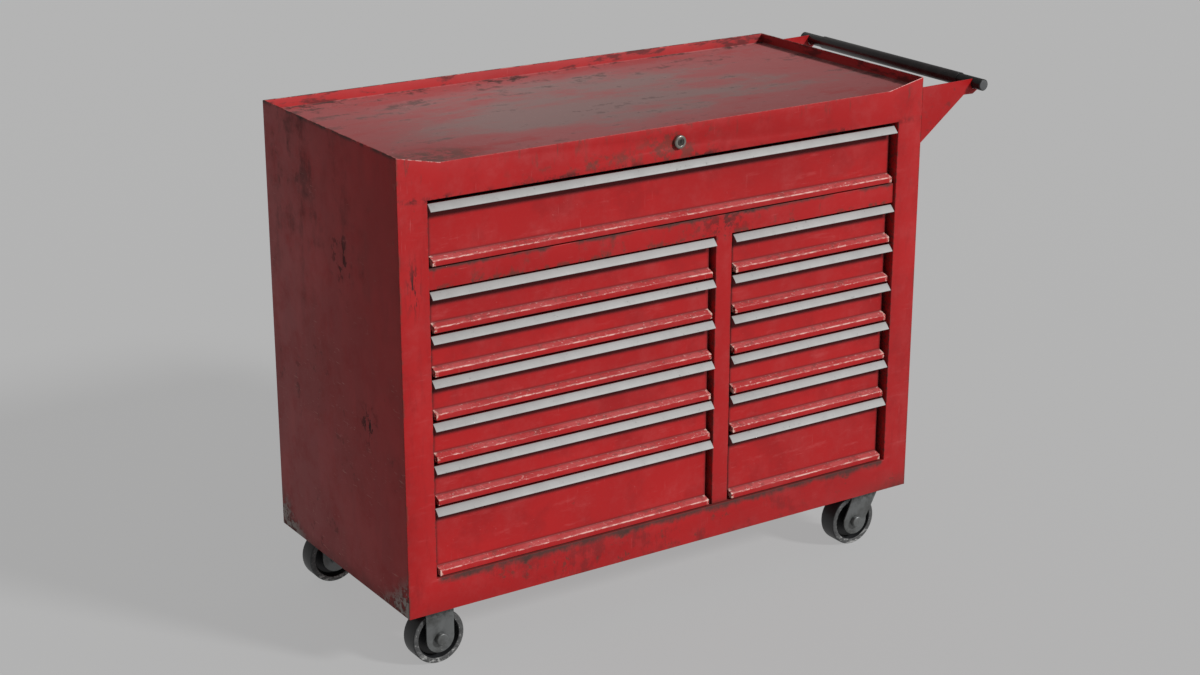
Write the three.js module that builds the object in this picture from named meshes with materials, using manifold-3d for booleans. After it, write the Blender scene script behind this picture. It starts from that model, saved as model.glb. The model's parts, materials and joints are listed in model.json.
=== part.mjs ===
// Rolling tool chest: a sheet-steel cabinet with thirteen drawers, a tray top, a side push handle, one
// lock that bars every drawer, two rigid and two swivel casters. Millimetres, +Z up, front towards -Y.
// Most pieces are drawn in the cabinet's own frame: x from the middle of the cabinet, y from its front
// face towards the back, z from its bottom edge. The cabinet group then moves that frame so that the
// origin of the whole chest is under its middle, on the floor.
import * as THREE from 'three';
import { mergeVertices } from 'three/addons/utils/BufferGeometryUtils.js';
import Module from 'manifold-3d';

const wasm = await Module();
wasm.setup();

// ---- driving dimensions -------------------------------------------------------------------------
const gap = 0.3; // between pieces that touch
const fuse = 0.1; // how far two joined shapes of one piece reach into each other
const through = 5; // how far a cutting shape reaches past what it cuts

// cabinet
const cabinetWidth = 1110;
const cabinetDepth = 499;
const cabinetHeight = 818;
const sheet = 1.2; // cabinet steel
const postWidth = 55.8; // face of the frame beside the drawers
const frameReturn = 28; // depth of the fold round the drawer opening
const bottomRail = 63.5;
const topRail = 61.5;
const frontDrop = 17; // the tray's front edge lies this far below its rim
const slantRun = 80; // the rim slopes down to the front edge over this width
const trayDepth = 19; // from the rim to the tray floor
const sideFrontFold = 35; // flange of a side panel behind the frame
const sideBackFold = 25; // flange of a side panel behind the back panel
const baseRecess = 12; // the floor panel stands this far above the cabinet's bottom edge

// rail and divider between the drawers
const railRecess = 5.5; // behind the frame's face
const crossRail = 37.5;
const dividerWidth = 35.2;
const dividerX = 106.1; // middle of the divider, right of the cabinet's middle
const railReturn = 24.5;

// drawer rows, from the top
const wideTopGap = 8.5;
const wideFront = 106.5;
const wideBottomGap = 3;
const columnTopGap = 4.6;
const smallFront = 71.2;
const frontGap = 6.5;
const smallRows = 5;
const deepBottomGap = 1.9;

// drawer
const drawerSheet = 1;
const frontInset = 8.5; // front panel to the side of its opening
const frontRecess = 16.3; // front panel behind the frame's face
const ledgeDepth = 13.3;
const ledgeBackRise = 15;
const ledgeFrontRise = 10.4;
const ledgeUnderfold = 11;
const boxBackSpace = 51.6; // behind the drawer boxes, for the lock bar
const boxRise = 6; // drawer floor above the front's lower edge
const boxTopDrop = 16; // drawer walls end this far below the front's upper edge

// drawer pull
const pullInset = 4; // pull to the side of its opening
const pullBack = 8.8; // rear edge behind the frame's face
const pullReach = 11.1;
const pullDrop = 11.6;
const pullBulge = 0.5;
const pullSheet = 1.6;
const pullTongue = 5.2;
const flangeDrop = 0.8; // front panel's top flange below the pull's upper edge

// slides
const slideSpace = 12.7; // between the opening's side and the drawer box
const slideRise = 30.5; // slide centre above the front's lower edge
const railHeight = 34;
const railClear = 3.5; // from a fixed rail's lips to the drawer box
const railSheet = 1.2;
const runnerHeight = 24;
const runnerClear = 3; // from a runner to the side of the opening
const runnerStart = 30;
const rackBackSpace = 18; // between the racks and the cabinet's back face
const partitionBackReach = 4; // past the drawer boxes
const partitionTopGap = 2; // below the cross rail's upper fold

// lock
const lockDrop = 30; // below the tray's front edge
const lockFaceRadius = 12;
const lockStand = 7;
const lockChamfer = 1.5;
const lockBodyRadius = 9.5;
const lockBodyLength = 22;
const plugRadius = 6.5;
const plugRecess = 0.6;
const plugTail = 2;
const keywayWidth = 1.4;
const keywayHeight = 8;
const keywayDepth = 6;
const lockRodRadius = 3;
const crankRadius = 11; // the bar's stroke for a quarter turn
const crankThickness = 3;
const crankPinRadius = 2;
const crankPinLength = 9;
const crankMargin = 1; // round the rod and the pin

// lock bar, fingers and the hooks that they drop behind
const barThickness = 2;
const barWidth = 100;
const barBackSpace = 38; // from the bar's front to the cabinet's back face
const barFoot = 14.6; // above the deep drawers' lower edge
const barArmReach = 14; // past the lock's axis
const barArmHalfHeight = 19;
const slotMargin = 1; // past the pin, at both ends of the bar's slot
const slotPlay = 0.5; // above the pin
const arcPlayShare = 0.24; // of the crank's radius, below the pin: its arc leaves the straight drop by less
const hookWidth = 20;
const hookReach = 12;
const hookRise = 18; // hook tongue above the drawer floor
const hookLip = 12;
const hookSheet = 1.5;
const hookCentre = 40.1 + 4; // from the divider's middle
const fingerWidth = 10;
const fingerClear = 3; // finger tip above the hook lip when unlocked
const fingerDrop = 12;
const guideHeight = 14;
const guideRise = 56; // above a drawer floor
const guideSheet = 1.2;
const guideClear = 0.5;

// side handle
const handleReach = 130; // tube axis from the cabinet's side
const handleDrop = 26.6; // tube axis below the rim
const tubeRadius = 11;
const tubeWall = 1.5;
const tubeOverhang = 24; // past the front and back faces
const gripWall = 1.2;
const gripInset = 42; // from the front and back faces to the grip's ends
const plugHeadDepth = 1.5;
const plugStem = 14;
const plugStep = 1; // the plug's head is this much smaller than the tube
const plugTaper = 0.6;
const bracketSheet = 2;
const bracketHeight = 105.6; // on the cabinet's side
const bracketShoulderDrop = 19.4; // its top edge below the rim
const bracketTopLift = 1.9; // its top edge rises towards the tube
const bracketKnee = 16.5; // where the lower edge turns level, inside the tube's near side
const bracketKneeDrop = 8.4; // below the tube
const bracketChin = 5; // lowest point of the cradle, inside the tube's axis
const bracketChinDrop = 8.9;
const bracketNose = 14.3; // corner of the cradle, from the tube's axis
const bracketNoseAngle = -60;
const bracketLip = 9.4; // the outline's last corner, inside the tube
const bracketLipAngle = -28;
const bracketFlange = 30;

// casters
const wheelRadius = 50.8;
const wheelWidth = 38.1;
const casterInsetX = 72; // caster centre from the cabinet's side
const casterInsetY = 48; // and from its front and back faces
const wheelTopGap = 12.1; // between a wheel and the cabinet's bottom edge
const casterTrail = 31.3;
const casterPlateX = 100;
const casterPlateY = 74;
const casterPlate = 4;
const casterHoleX = 40;
const casterHoleY = 30;
const casterHoleRadius = 4.3;
const forkSheet = 3;
const forkClear = 3; // between the wheel's side and the fork
const forkHalfWidth = 27.5;
const crownTop = -2.2;
const crownThickness = 3.3;
const crownFront = 24;
const crownBack = -40;
const legBackLean = 2; // a swivel leg leaves the crown this far inside its end and leans out past it
const legBackDrop = 15; // over this height below the crown
const legNotch = 3; // the leg's front edge steps back under the crown
const legNotchDrop = 8;
const legWaist = 15; // and then further, down to the round end
const legWaistDrop = 31;
const legRoundStart = 167; // degrees
const legRoundEnd = 367;
const raceRadius = 27;
const raceChamfer = 3;
const kingpinRadius = 5;
const kingpinHeadRadius = 9;
const kingpinLength = 7.6;
const axleRadius = 4;
const axleCapRadius = 11.3;
const axleCapLength = 9;
const axleCapChamfer = 1.5;
const axleNutRadius = 8;
const axleNutLength = 6.5;
const hubRadius = 14;
const hubClear = 1;
const sideRing = 10.3; // flat ring round the wheel's dish
const webHalf = 5;
const dishSlope = 4; // the dish's wall spreads by this much
const dishRim = 1; // rounded edge between the dish and the side ring
const dishRimDrop = 2;
const treadRound = 2.6;

// ---- worked out from them -----------------------------------------------------------------------
const halfWidth = cabinetWidth / 2;
const openingRight = halfWidth - postWidth;
const openingLeft = -openingRight;
const dividerLeft = dividerX - dividerWidth / 2;
const dividerRight = dividerX + dividerWidth / 2;
const frontTop = cabinetHeight - frontDrop;
const openingTop = frontTop - topRail;
const wideTop = openingTop - wideTopGap;
const wideBottom = wideTop - wideFront;
const crossTop = wideBottom - wideBottomGap;
const crossBottom = crossTop - crossRail;
const columnTop = crossBottom - columnTopGap;
const smallPitch = smallFront + frontGap;
const deepTop = columnTop - smallRows * smallPitch;
const deepBottom = bottomRail + deepBottomGap;
const trayFloor = cabinetHeight - trayDepth;
const skinInner = halfWidth - sheet - gap; // half width of what fits between the side panels
const backPanelFront = cabinetDepth - 2 * sheet - gap;
const boxFront = frontRecess + drawerSheet - fuse;
const boxBack = cabinetDepth - boxBackSpace;
const railDepth = slideSpace - railClear;
const runnerDepth = slideSpace - runnerClear;
const rackFront = frameReturn + gap;
const rackBack = cabinetDepth - rackBackSpace;
const lockRise = frontTop - lockDrop;
const barFront = cabinetDepth - barBackSpace;
const barBottom = deepBottom + barFoot;
const handleRise = cabinetHeight - handleDrop;
const gripRadius = tubeRadius + gap + gripWall;
const casterDrop = 2 * wheelRadius + wheelTopGap; // floor below the cabinet's bottom edge
const axleRise = wheelRadius - casterDrop; // axle above the cabinet's bottom edge
const dishRadius = wheelRadius - sideRing;
const forkInner = wheelWidth / 2 + forkClear;
const forkOuter = forkInner + forkSheet;
const plateTop = baseRecess - gap;
const plateBottom = plateTop - casterPlate;
const overallRight = halfWidth + handleReach + gripRadius;
const chestMiddle = (overallRight - halfWidth) / 2;

// ---- materials ----------------------------------------------------------------------------------
function paint(colour, roughness, metalness) {
  return new THREE.MeshStandardMaterial({ color: colour, roughness, metalness });
}
const redPaint = paint(0xa83032, 0.45, 0.1);
const greyPull = paint(0xaaacac, 0.4, 0.8);
const zincSteel = paint(0x9a9c9e, 0.45, 0.9);
const greySteel = paint(0x5a5c5c, 0.5, 0.7);
const blackRubber = paint(0x232426, 0.7, 0);
const blackTube = paint(0x232626, 0.4, 0.5);
const greyPlastic = paint(0x8c8e90, 0.5, 0);
const lockChrome = paint(0xb4b0a8, 0.3, 1);

// ---- shape helpers ------------------------------------------------------------------------------
const cyclic = new THREE.Matrix4().set(0, 0, 1, 0, 1, 0, 0, 0, 0, 1, 0, 0, 0, 0, 0, 1); // (u, v, w) to (w, u, v)
const upright = new THREE.Matrix4().makeRotationX(Math.PI / 2); // (u, v, w) to (u, -w, v)

function closedMesh(geometry) {
  geometry.deleteAttribute('normal');
  geometry.deleteAttribute('uv');
  const merged = mergeVertices(geometry, 1e-4);
  const position = merged.getAttribute('position');
  const index = Array.from(merged.getIndex().array);
  const corners = [0, 1, 2].map(() => new THREE.Vector3());
  let volume = 0;
  const faces = [];
  for (let i = 0; i < index.length; i += 3) {
    const [a, b, c] = index.slice(i, i + 3);
    if (a === b || b === c || c === a) continue;
    [a, b, c].forEach((v, k) => corners[k].fromBufferAttribute(position, v));
    volume += corners[0].dot(corners[1].clone().cross(corners[2]));
    faces.push([a, b, c]);
  }
  const outward = volume > 0 ? faces : faces.map(([a, b, c]) => [a, c, b]);
  return { vertices: Float32Array.from(position.array), triangles: Uint32Array.from(outward.flat()) };
}

function solid(geometry) {
  const { vertices, triangles } = closedMesh(geometry);
  return new wasm.Manifold(new wasm.Mesh({ numProp: 3, vertProperties: vertices, triVerts: triangles }));
}

function join(...solids) {
  return solids.reduce((whole, piece) => whole.add(piece));
}

function cut(body, ...tools) {
  return tools.reduce((rest, tool) => rest.subtract(tool), body);
}

function box(x, y, z) {
  const geometry = new THREE.BoxGeometry(x[1] - x[0], y[1] - y[0], z[1] - z[0]);
  geometry.translate((x[0] + x[1]) / 2, (y[0] + y[1]) / 2, (z[0] + z[1]) / 2);
  return solid(geometry);
}

function outline(points, holes = []) {
  const shape = new THREE.Shape(points.map(([u, v]) => new THREE.Vector2(u, v)));
  shape.holes.push(...holes);
  return shape;
}

function hole(u, v, radius) {
  return new THREE.Path().absarc(u, v, radius, 0, 2 * Math.PI, true);
}

function extrude(shape, depth, curveSegments = 8) {
  return new THREE.ExtrudeGeometry(shape, { depth, bevelEnabled: false, curveSegments });
}

// outline in (y, z), along x
function alongX(shape, x) {
  return solid(extrude(shape, x[1] - x[0]).applyMatrix4(cyclic).translate(x[0], 0, 0));
}

// outline in (x, z), along y
function alongY(shape, y) {
  return solid(extrude(shape, y[1] - y[0]).applyMatrix4(upright).translate(0, y[1], 0));
}

// outline in (x, y), along z
function alongZ(shape, z) {
  return solid(extrude(shape, z[1] - z[0]).translate(0, 0, z[0]));
}

// profile of [radius, height] turned about the y axis, or about z
function turnedY(profile, segments = 32) {
  return solid(new THREE.LatheGeometry(profile.map(([r, h]) => new THREE.Vector2(r, h)), segments));
}

function turnedZ(profile, segments = 32) {
  const lathe = new THREE.LatheGeometry(profile.map(([r, h]) => new THREE.Vector2(r, h)), segments);
  return solid(lathe.applyMatrix4(upright));
}

function rod(radius, from, to, segments = 20) {
  return turnedY([[0, from], [radius, from], [radius, to], [0, to]], segments);
}

// A bent sheet's section: the path is one face, and the thickness lies to its left.
function bentSheet(path, thickness) {
  const offset = path.map(([u, v], i) => {
    const normals = [];
    for (const [a, b] of [[path[i - 1], path[i]], [path[i], path[i + 1]]]) {
      if (!a || !b) continue;
      const length = Math.hypot(b[0] - a[0], b[1] - a[1]);
      normals.push([-(b[1] - a[1]) / length, (b[0] - a[0]) / length]);
    }
    const [n, m] = [normals[0], normals[normals.length - 1]];
    const mitre = thickness / (1 + n[0] * m[0] + n[1] * m[1]);
    return [u + (n[0] + m[0]) * mitre, v + (n[1] + m[1]) * mitre];
  });
  return outline([...path, ...offset.reverse()]);
}

function mirrored(path) {
  return path.map(([u, v]) => [-u, v]).reverse();
}

// points of an arc that bulges to the right of the line from a to b
function arcPoints(a, b, bulge, steps) {
  const chord = Math.hypot(b[0] - a[0], b[1] - a[1]);
  const right = [(b[1] - a[1]) / chord, -(b[0] - a[0]) / chord];
  const points = [];
  for (let i = 0; i <= steps; i += 1) {
    const t = i / steps;
    const lift = 4 * bulge * t * (1 - t);
    points.push([a[0] + (b[0] - a[0]) * t + right[0] * lift, a[1] + (b[1] - a[1]) * t + right[1] * lift]);
  }
  return points;
}

function roundEnd(centre, radius, from, to, steps) {
  const points = [];
  for (let i = 0; i <= steps; i += 1) {
    const angle = from + ((to - from) * i) / steps;
    points.push([centre[0] + radius * Math.cos(angle), centre[1] + radius * Math.sin(angle)]);
  }
  return points;
}

// ---- the scene graph ----------------------------------------------------------------------------
const chest = new THREE.Group();
const cabinet = new THREE.Group();
cabinet.position.set(-chestMiddle, -cabinetDepth / 2, casterDrop);
chest.add(cabinet);

function add(group, name, body, material) {
  const { vertProperties, triVerts } = body.getMesh();
  const geometry = new THREE.BufferGeometry();
  geometry.setAttribute('position', new THREE.BufferAttribute(new Float32Array(vertProperties), 3));
  geometry.setIndex(new THREE.BufferAttribute(new Uint32Array(triVerts), 1));
  geometry.computeVertexNormals();
  const mesh = new THREE.Mesh(geometry, material);
  mesh.name = name;
  group.add(mesh);
}

function groupAt(x, y, z, parent = cabinet) {
  const group = new THREE.Group();
  group.position.set(x, y, z);
  parent.add(group);
  return group;
}

// ---- cabinet shell ------------------------------------------------------------------------------
function frontFrame() {
  const face = outline([
    [-halfWidth, 0], [halfWidth, 0], [halfWidth, cabinetHeight], [halfWidth - slantRun, frontTop],
    [-halfWidth + slantRun, frontTop], [-halfWidth, cabinetHeight],
  ]);
  const opening = [
    [openingLeft, bottomRail], [openingRight, bottomRail], [openingRight, openingTop], [openingLeft, openingTop],
  ];
  face.holes.push(new THREE.Path(opening.map(([u, v]) => new THREE.Vector2(u, v)).reverse()));
  face.holes.push(hole(0, lockRise, lockBodyRadius + gap));
  const folds = cut(
    box([openingLeft - sheet, openingRight + sheet], [sheet - fuse, frameReturn],
      [bottomRail - sheet, openingTop + sheet]),
    box([openingLeft, openingRight], [-through, frameReturn + through], [bottomRail, openingTop]),
  );
  return join(alongY(face, [0, sheet]), folds);
}

function sidePanel(side) {
  const front = sheet + gap;
  const path = [
    [halfWidth - sideFrontFold, front], [halfWidth, front], [halfWidth, cabinetDepth],
    [halfWidth - sideBackFold, cabinetDepth],
  ];
  const shape = bentSheet(side > 0 ? path : mirrored(path), sheet);
  const foldEnds = [halfWidth - sideFrontFold - through, halfWidth - sheet];
  const clearing = box(side > 0 ? foldEnds : [-foldEnds[1], -foldEnds[0]],
    [0, front + sheet + through], [trayFloor - sheet - gap, cabinetHeight + through]);
  return cut(alongZ(shape, [0, cabinetHeight]), clearing);
}

function lockBarGuide(floorZ) {
  const z = [floorZ + guideRise, floorZ + guideRise + guideHeight];
  const inner = barWidth / 2 + guideClear;
  const front = barFront - guideClear - guideSheet;
  return cut(
    box([dividerX - inner - guideSheet, dividerX + inner + guideSheet], [front, backPanelFront + fuse], z),
    box([dividerX - inner, dividerX + inner], [front + guideSheet, backPanelFront + through],
      [z[0] - through, z[1] + through]),
  );
}

function backPanel() {
  const panel = box([-skinInner, skinInner], [backPanelFront, backPanelFront + sheet], [0, cabinetHeight]);
  const guides = [1, smallRows].map((row) => lockBarGuide(columnTop - row * smallPitch + frontGap + boxRise));
  return join(panel, ...guides);
}

function basePanel() {
  const y = [2 * sheet + 2 * gap, backPanelFront - gap];
  return cut(
    box([-skinInner, skinInner], y, [0, baseRecess + sheet]),
    box([-skinInner + sheet, skinInner - sheet], [y[0] + sheet, y[1] - sheet], [-through, baseRecess]),
  );
}

function topTray() {
  const y = [sheet + gap, backPanelFront - gap];
  const inner = skinInner - sheet;
  return cut(
    box([-skinInner, skinInner], y, [trayFloor - sheet, cabinetHeight]),
    box([-inner, inner], [y[0] + sheet, y[1] - sheet], [trayFloor, cabinetHeight + through]),
    box([-inner, inner], [0, y[0] + through], [frontTop - gap, cabinetHeight + through]),
  );
}

function crossAndDivider() {
  const y = [railRecess, railRecess + railReturn];
  const bar = cut(
    box([openingLeft + gap, openingRight - gap], y, [crossBottom, crossTop]),
    box([openingLeft, openingRight], [railRecess + sheet, y[1] + through], [crossBottom + sheet, crossTop - sheet]),
  );
  const divider = cut(
    box([dividerLeft, dividerRight], y, [bottomRail + gap, crossBottom + fuse]),
    box([dividerLeft + sheet, dividerRight - sheet], [railRecess + sheet, y[1] + through], [0, crossBottom]),
  );
  return join(bar, divider);
}

// ---- slides -------------------------------------------------------------------------------------
function slideHeights() {
  const rows = [];
  for (let row = 1; row <= smallRows; row += 1) rows.push(columnTop - row * smallPitch + frontGap + slideRise);
  rows.push(deepBottom + slideRise);
  return rows;
}

// a C rail fixed at x, open towards the side that facing points to
function fixedRail(x, facing, z) {
  const web = x - facing * fuse;
  const lip = x + facing * railDepth;
  const path = [
    [lip, z + railHeight / 2], [web, z + railHeight / 2], [web, z - railHeight / 2], [lip, z - railHeight / 2],
  ];
  const shape = facing > 0 ? bentSheet(path, railSheet) : bentSheet([...path].reverse(), railSheet);
  return alongY(shape, [runnerStart, boxBack]);
}

function slideRack(side) {
  const wall = openingRight;
  const path = [[skinInner, rackFront], [wall, rackFront], [wall, rackBack], [skinInner, rackBack]].reverse();
  const shape = bentSheet(side > 0 ? path : mirrored(path), sheet);
  const rack = alongZ(shape, [baseRecess + sheet + gap, trayFloor - sheet - gap]);
  const rows = [wideBottom + slideRise, ...slideHeights()];
  return join(rack, ...rows.map((z) => fixedRail(side * wall, -side, z)));
}

function centrePartition() {
  const y = [railRecess + railReturn + gap, boxBack + partitionBackReach];
  const z = [baseRecess + sheet + gap, crossTop - sheet - partitionTopGap];
  const tube = cut(
    box([dividerLeft, dividerRight], y, z),
    box([dividerLeft + sheet, dividerRight - sheet], [y[0] + sheet, y[1] - sheet], [z[0] - through, z[1] + through]),
  );
  const rails = slideHeights().flatMap((height) => [
    cut(fixedRail(dividerLeft, -1, height), box([dividerLeft - through, dividerRight], [0, y[0]], z)),
    cut(fixedRail(dividerRight, 1, height), box([dividerLeft, dividerRight + through], [0, y[0]], z)),
  ]);
  return join(tube, ...rails);
}

// ---- drawers ------------------------------------------------------------------------------------
// drawn round the middle of their opening, z from the front's lower edge
function drawerFront(openingWidth, height) {
  const half = openingWidth / 2 - frontInset;
  const flange = height - flangeDrop - drawerSheet;
  const ledgeFace = frontRecess - ledgeDepth;
  const path = [
    [pullBack + gap, flange], [frontRecess, flange], [frontRecess, ledgeBackRise],
    [ledgeFace, ledgeFrontRise], [ledgeFace, 0], [ledgeFace + ledgeUnderfold, 0],
  ];
  const middle = drawerSheet / 2; // the tabs that close the ledge end inside its sheet's thickness
  const tab = outline([
    [frontRecess + middle, ledgeBackRise - middle], [ledgeFace + middle, ledgeFrontRise - middle],
    [ledgeFace + middle, middle], [ledgeFace + ledgeUnderfold - fuse, middle],
  ]);
  const tabX = [half - fuse - drawerSheet, half - fuse];
  return join(alongX(bentSheet(path, drawerSheet), [-half, half]), alongX(tab, tabX),
    alongX(tab, [-tabX[1], -tabX[0]]));
}

function drawer(openingWidth, height, hookX) {
  const half = openingWidth / 2 - slideSpace;
  const top = height - boxTopDrop;
  const pan = cut(
    box([-half, half], [boxFront, boxBack], [boxRise, top]),
    box([-half + drawerSheet, half - drawerSheet], [boxFront + drawerSheet, boxBack - drawerSheet],
      [boxRise + drawerSheet, top + through]),
  );
  const runnerZ = [slideRise - runnerHeight / 2, slideRise + runnerHeight / 2];
  const runnerY = [runnerStart, boxBack];
  const runners = [
    box([-half - runnerDepth, -half + fuse], runnerY, runnerZ),
    box([half - fuse, half + runnerDepth], runnerY, runnerZ),
  ];
  const tongue = boxRise + hookRise;
  const hookXs = [hookX - hookWidth / 2, hookX + hookWidth / 2];
  const hook = join(
    box(hookXs, [boxBack - fuse, boxBack + hookReach], [tongue, tongue + hookSheet]),
    box(hookXs, [boxBack + hookReach - hookSheet, boxBack + hookReach], [tongue, tongue + hookSheet + hookLip]),
  );
  return join(pan, drawerFront(openingWidth, height), ...runners, hook);
}

function drawerPull(openingWidth, height) {
  const half = openingWidth / 2 - pullInset;
  const tongueTop = height - flangeDrop - drawerSheet - gap;
  const back = [pullBack, height];
  const lip = [pullBack - pullReach, height - pullDrop];
  const slope = Math.atan2(pullDrop, pullReach);
  const inward = [pullSheet * Math.sin(slope), -pullSheet * Math.cos(slope)];
  const outer = arcPoints(back, lip, pullBulge, 4);
  const inner = arcPoints([lip[0] + inward[0], lip[1] + inward[1]],
    [pullBack - pullSheet, tongueTop - drawerSheet], -pullBulge, 4);
  const tongue = [
    [pullBack + pullTongue, tongueTop - drawerSheet], [pullBack + pullTongue, tongueTop], [pullBack, tongueTop],
  ];
  return alongX(outline([...outer, ...inner, ...tongue]), [-half, half]);
}

function addDrawer(name, left, right, bottom, height) {
  const middle = (left + right) / 2;
  const group = groupAt(middle, 0, bottom);
  const hookX = (left < dividerX ? dividerX - hookCentre : dividerX + hookCentre) - middle;
  add(group, `${name}_drawer`, drawer(right - left, height, hookX), redPaint);
  add(group, `${name}_pull`, drawerPull(right - left, height), greyPull);
}

// ---- lock ---------------------------------------------------------------------------------------
function lockCylinder() {
  const bore = plugRadius + gap;
  const rim = lockFaceRadius;
  return turnedY([
    [bore, -lockStand], [rim - lockChamfer, -lockStand], [rim, -lockStand + lockChamfer], [rim, -gap],
    [lockBodyRadius, -gap], [lockBodyRadius, lockBodyLength], [bore, lockBodyLength], [bore, -lockStand],
  ]);
}

function lockPlug() {
  const front = -lockStand + plugRecess;
  return cut(
    rod(plugRadius, front, lockBodyLength + plugTail, 24),
    box([-keywayWidth / 2, keywayWidth / 2], [front - through, front + keywayDepth],
      [-keywayHeight / 2, keywayHeight / 2]),
  );
}

function lockRod() {
  const start = lockBodyLength + plugTail + gap;
  const crankY = [barFront - 2 * crankThickness, barFront - crankThickness];
  const pin = rod(crankPinRadius, crankY[1] - fuse, crankY[1] + crankPinLength, 16).translate([crankRadius, 0, 0]);
  const crankHalf = lockRodRadius + crankMargin;
  const crank = box([-crankHalf, crankRadius + crankHalf], crankY, [-crankHalf, crankHalf]);
  return join(rod(lockRodRadius, start, crankY[0] + fuse, 16), crank, pin);
}

function lockFinger(x, floorZ) {
  const tip = floorZ + hookRise + hookSheet + hookLip + fingerClear;
  const y = boxBack + hookReach / 2 - hookSheet;
  const xs = [x - fingerWidth / 2, x + fingerWidth / 2];
  return join(
    box(xs, [y, y + hookSheet], [tip, tip + fingerDrop + hookSheet]),
    box(xs, [y, barFront + fuse], [tip + fingerDrop, tip + fingerDrop + hookSheet]),
  );
}

function lockBar() {
  const y = [barFront, barFront + barThickness];
  const right = dividerX + barWidth / 2;
  const armZ = [lockRise - barArmHalfHeight, lockRise + barArmHalfHeight];
  const strip = box([dividerX - barWidth / 2, right], y, [barBottom, armZ[0] + fuse]);
  const arm = box([-barArmReach, right], y, armZ);
  // A straight slot lets the pin swing on its arc while the bar drops in step with the turn.
  const slotEnd = crankPinRadius + slotMargin;
  const slot = box([-slotEnd, crankRadius + slotEnd], [y[0] - through, y[1] + through],
    [lockRise - crankPinRadius - crankRadius * arcPlayShare, lockRise + crankPinRadius + slotPlay]);
  const floors = [];
  for (let row = 1; row <= smallRows; row += 1) floors.push(columnTop - row * smallPitch + frontGap + boxRise);
  floors.push(deepBottom + boxRise);
  const fingers = floors.flatMap((floorZ) => [
    lockFinger(dividerX - hookCentre, floorZ), lockFinger(dividerX + hookCentre, floorZ),
  ]);
  fingers.push(lockFinger(dividerX - hookCentre, wideBottom + boxRise));
  return join(cut(join(strip, arm), slot), ...fingers);
}

// ---- side handle --------------------------------------------------------------------------------
// drawn from the cabinet's right side, heights from the cabinet's bottom
function fromTube(radius, degrees) {
  const angle = THREE.MathUtils.degToRad(degrees);
  return [handleReach + radius * Math.cos(angle), handleRise + radius * Math.sin(angle)];
}

function handleBracket(y, inward) {
  const shoulder = cabinetHeight - bracketShoulderDrop;
  const foot = shoulder - bracketHeight;
  const under = handleRise - tubeRadius;
  const plate = outline([
    [gap, foot], [handleReach - tubeRadius - bracketKnee, under - bracketKneeDrop],
    [handleReach - bracketChin, under - bracketChinDrop],
    fromTube(bracketNose, bracketNoseAngle), fromTube(bracketLip, bracketLipAngle),
    [handleReach, shoulder + bracketTopLift], [gap, shoulder],
  ]);
  const faces = [y, y + bracketSheet];
  const outer = inward > 0 ? faces[0] : faces[1];
  const path = [[handleReach + tubeRadius, outer], [gap, outer], [gap, outer + inward * bracketFlange]];
  const folded = alongZ(bentSheet(inward < 0 ? path : path.reverse(), bracketSheet),
    [foot - through, handleRise + tubeRadius]);
  const seat = rod(tubeRadius + gap, faces[0] - through, faces[1] + through, 28);
  return cut(folded.intersect(alongY(plate, [y - bracketFlange - through, y + bracketFlange + through])),
    seat.translate([handleReach, 0, handleRise]));
}

function sleeve(outer, inner, from, to) {
  return turnedY([[inner, from], [outer, from], [outer, to], [inner, to], [inner, from]]);
}

function endPlug(facing) {
  const bore = tubeRadius - tubeWall - gap;
  const head = tubeRadius - plugStep;
  const profile = [[0, -plugStem], [bore, -plugStem], [bore, gap], [head, gap], [head - plugTaper, plugHeadDepth],
    [0, plugHeadDepth]];
  return turnedY(profile.map(([r, h]) => [r, facing * h]), 28);
}

// ---- casters ------------------------------------------------------------------------------------
// drawn from the middle of the mounting plate, z from the cabinet's bottom edge
function mountingPlate() {
  const [u, v] = [casterPlateX / 2, casterPlateY / 2];
  const holes = [[-1, -1], [1, -1], [1, 1], [-1, 1]].map(([a, b]) =>
    hole(a * casterHoleX, b * casterHoleY, casterHoleRadius));
  return alongZ(outline([[-u, -v], [u, -v], [u, v], [-u, v]], holes), [plateBottom, plateTop]);
}

function forkLegs(legOutline, axleX) {
  const shape = outline(legOutline, [hole(axleX, axleRise, axleRadius + gap)]);
  return [alongY(shape, [-forkOuter, -forkInner]), alongY(shape, [forkInner, forkOuter])];
}

function rigidFork() {
  const leg = [
    [forkHalfWidth, plateBottom + fuse], [-forkHalfWidth, plateBottom + fuse],
    ...roundEnd([0, axleRise], forkHalfWidth, Math.PI, 2 * Math.PI, 12),
  ];
  return join(mountingPlate(), ...forkLegs(leg, 0));
}

function swivelFork() {
  const bottom = crownTop - crownThickness;
  const leg = [
    [crownFront, crownTop - fuse], [crownBack + legBackLean, crownTop - fuse],
    [crownBack - legBackLean, bottom - legBackDrop],
    ...roundEnd([-casterTrail, axleRise], forkHalfWidth, THREE.MathUtils.degToRad(legRoundStart),
      THREE.MathUtils.degToRad(legRoundEnd), 14),
    [crownFront - legWaist, bottom - legWaistDrop], [crownFront - legNotch, bottom - legNotchDrop],
  ];
  const crown = cut(
    box([crownBack, crownFront], [-forkOuter, forkOuter], [bottom, crownTop]),
    turnedZ([[0, bottom - through], [kingpinRadius + gap, bottom - through],
      [kingpinRadius + gap, crownTop + through], [0, crownTop + through]], 24),
  );
  return join(crown, ...forkLegs(leg, -casterTrail));
}

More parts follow.
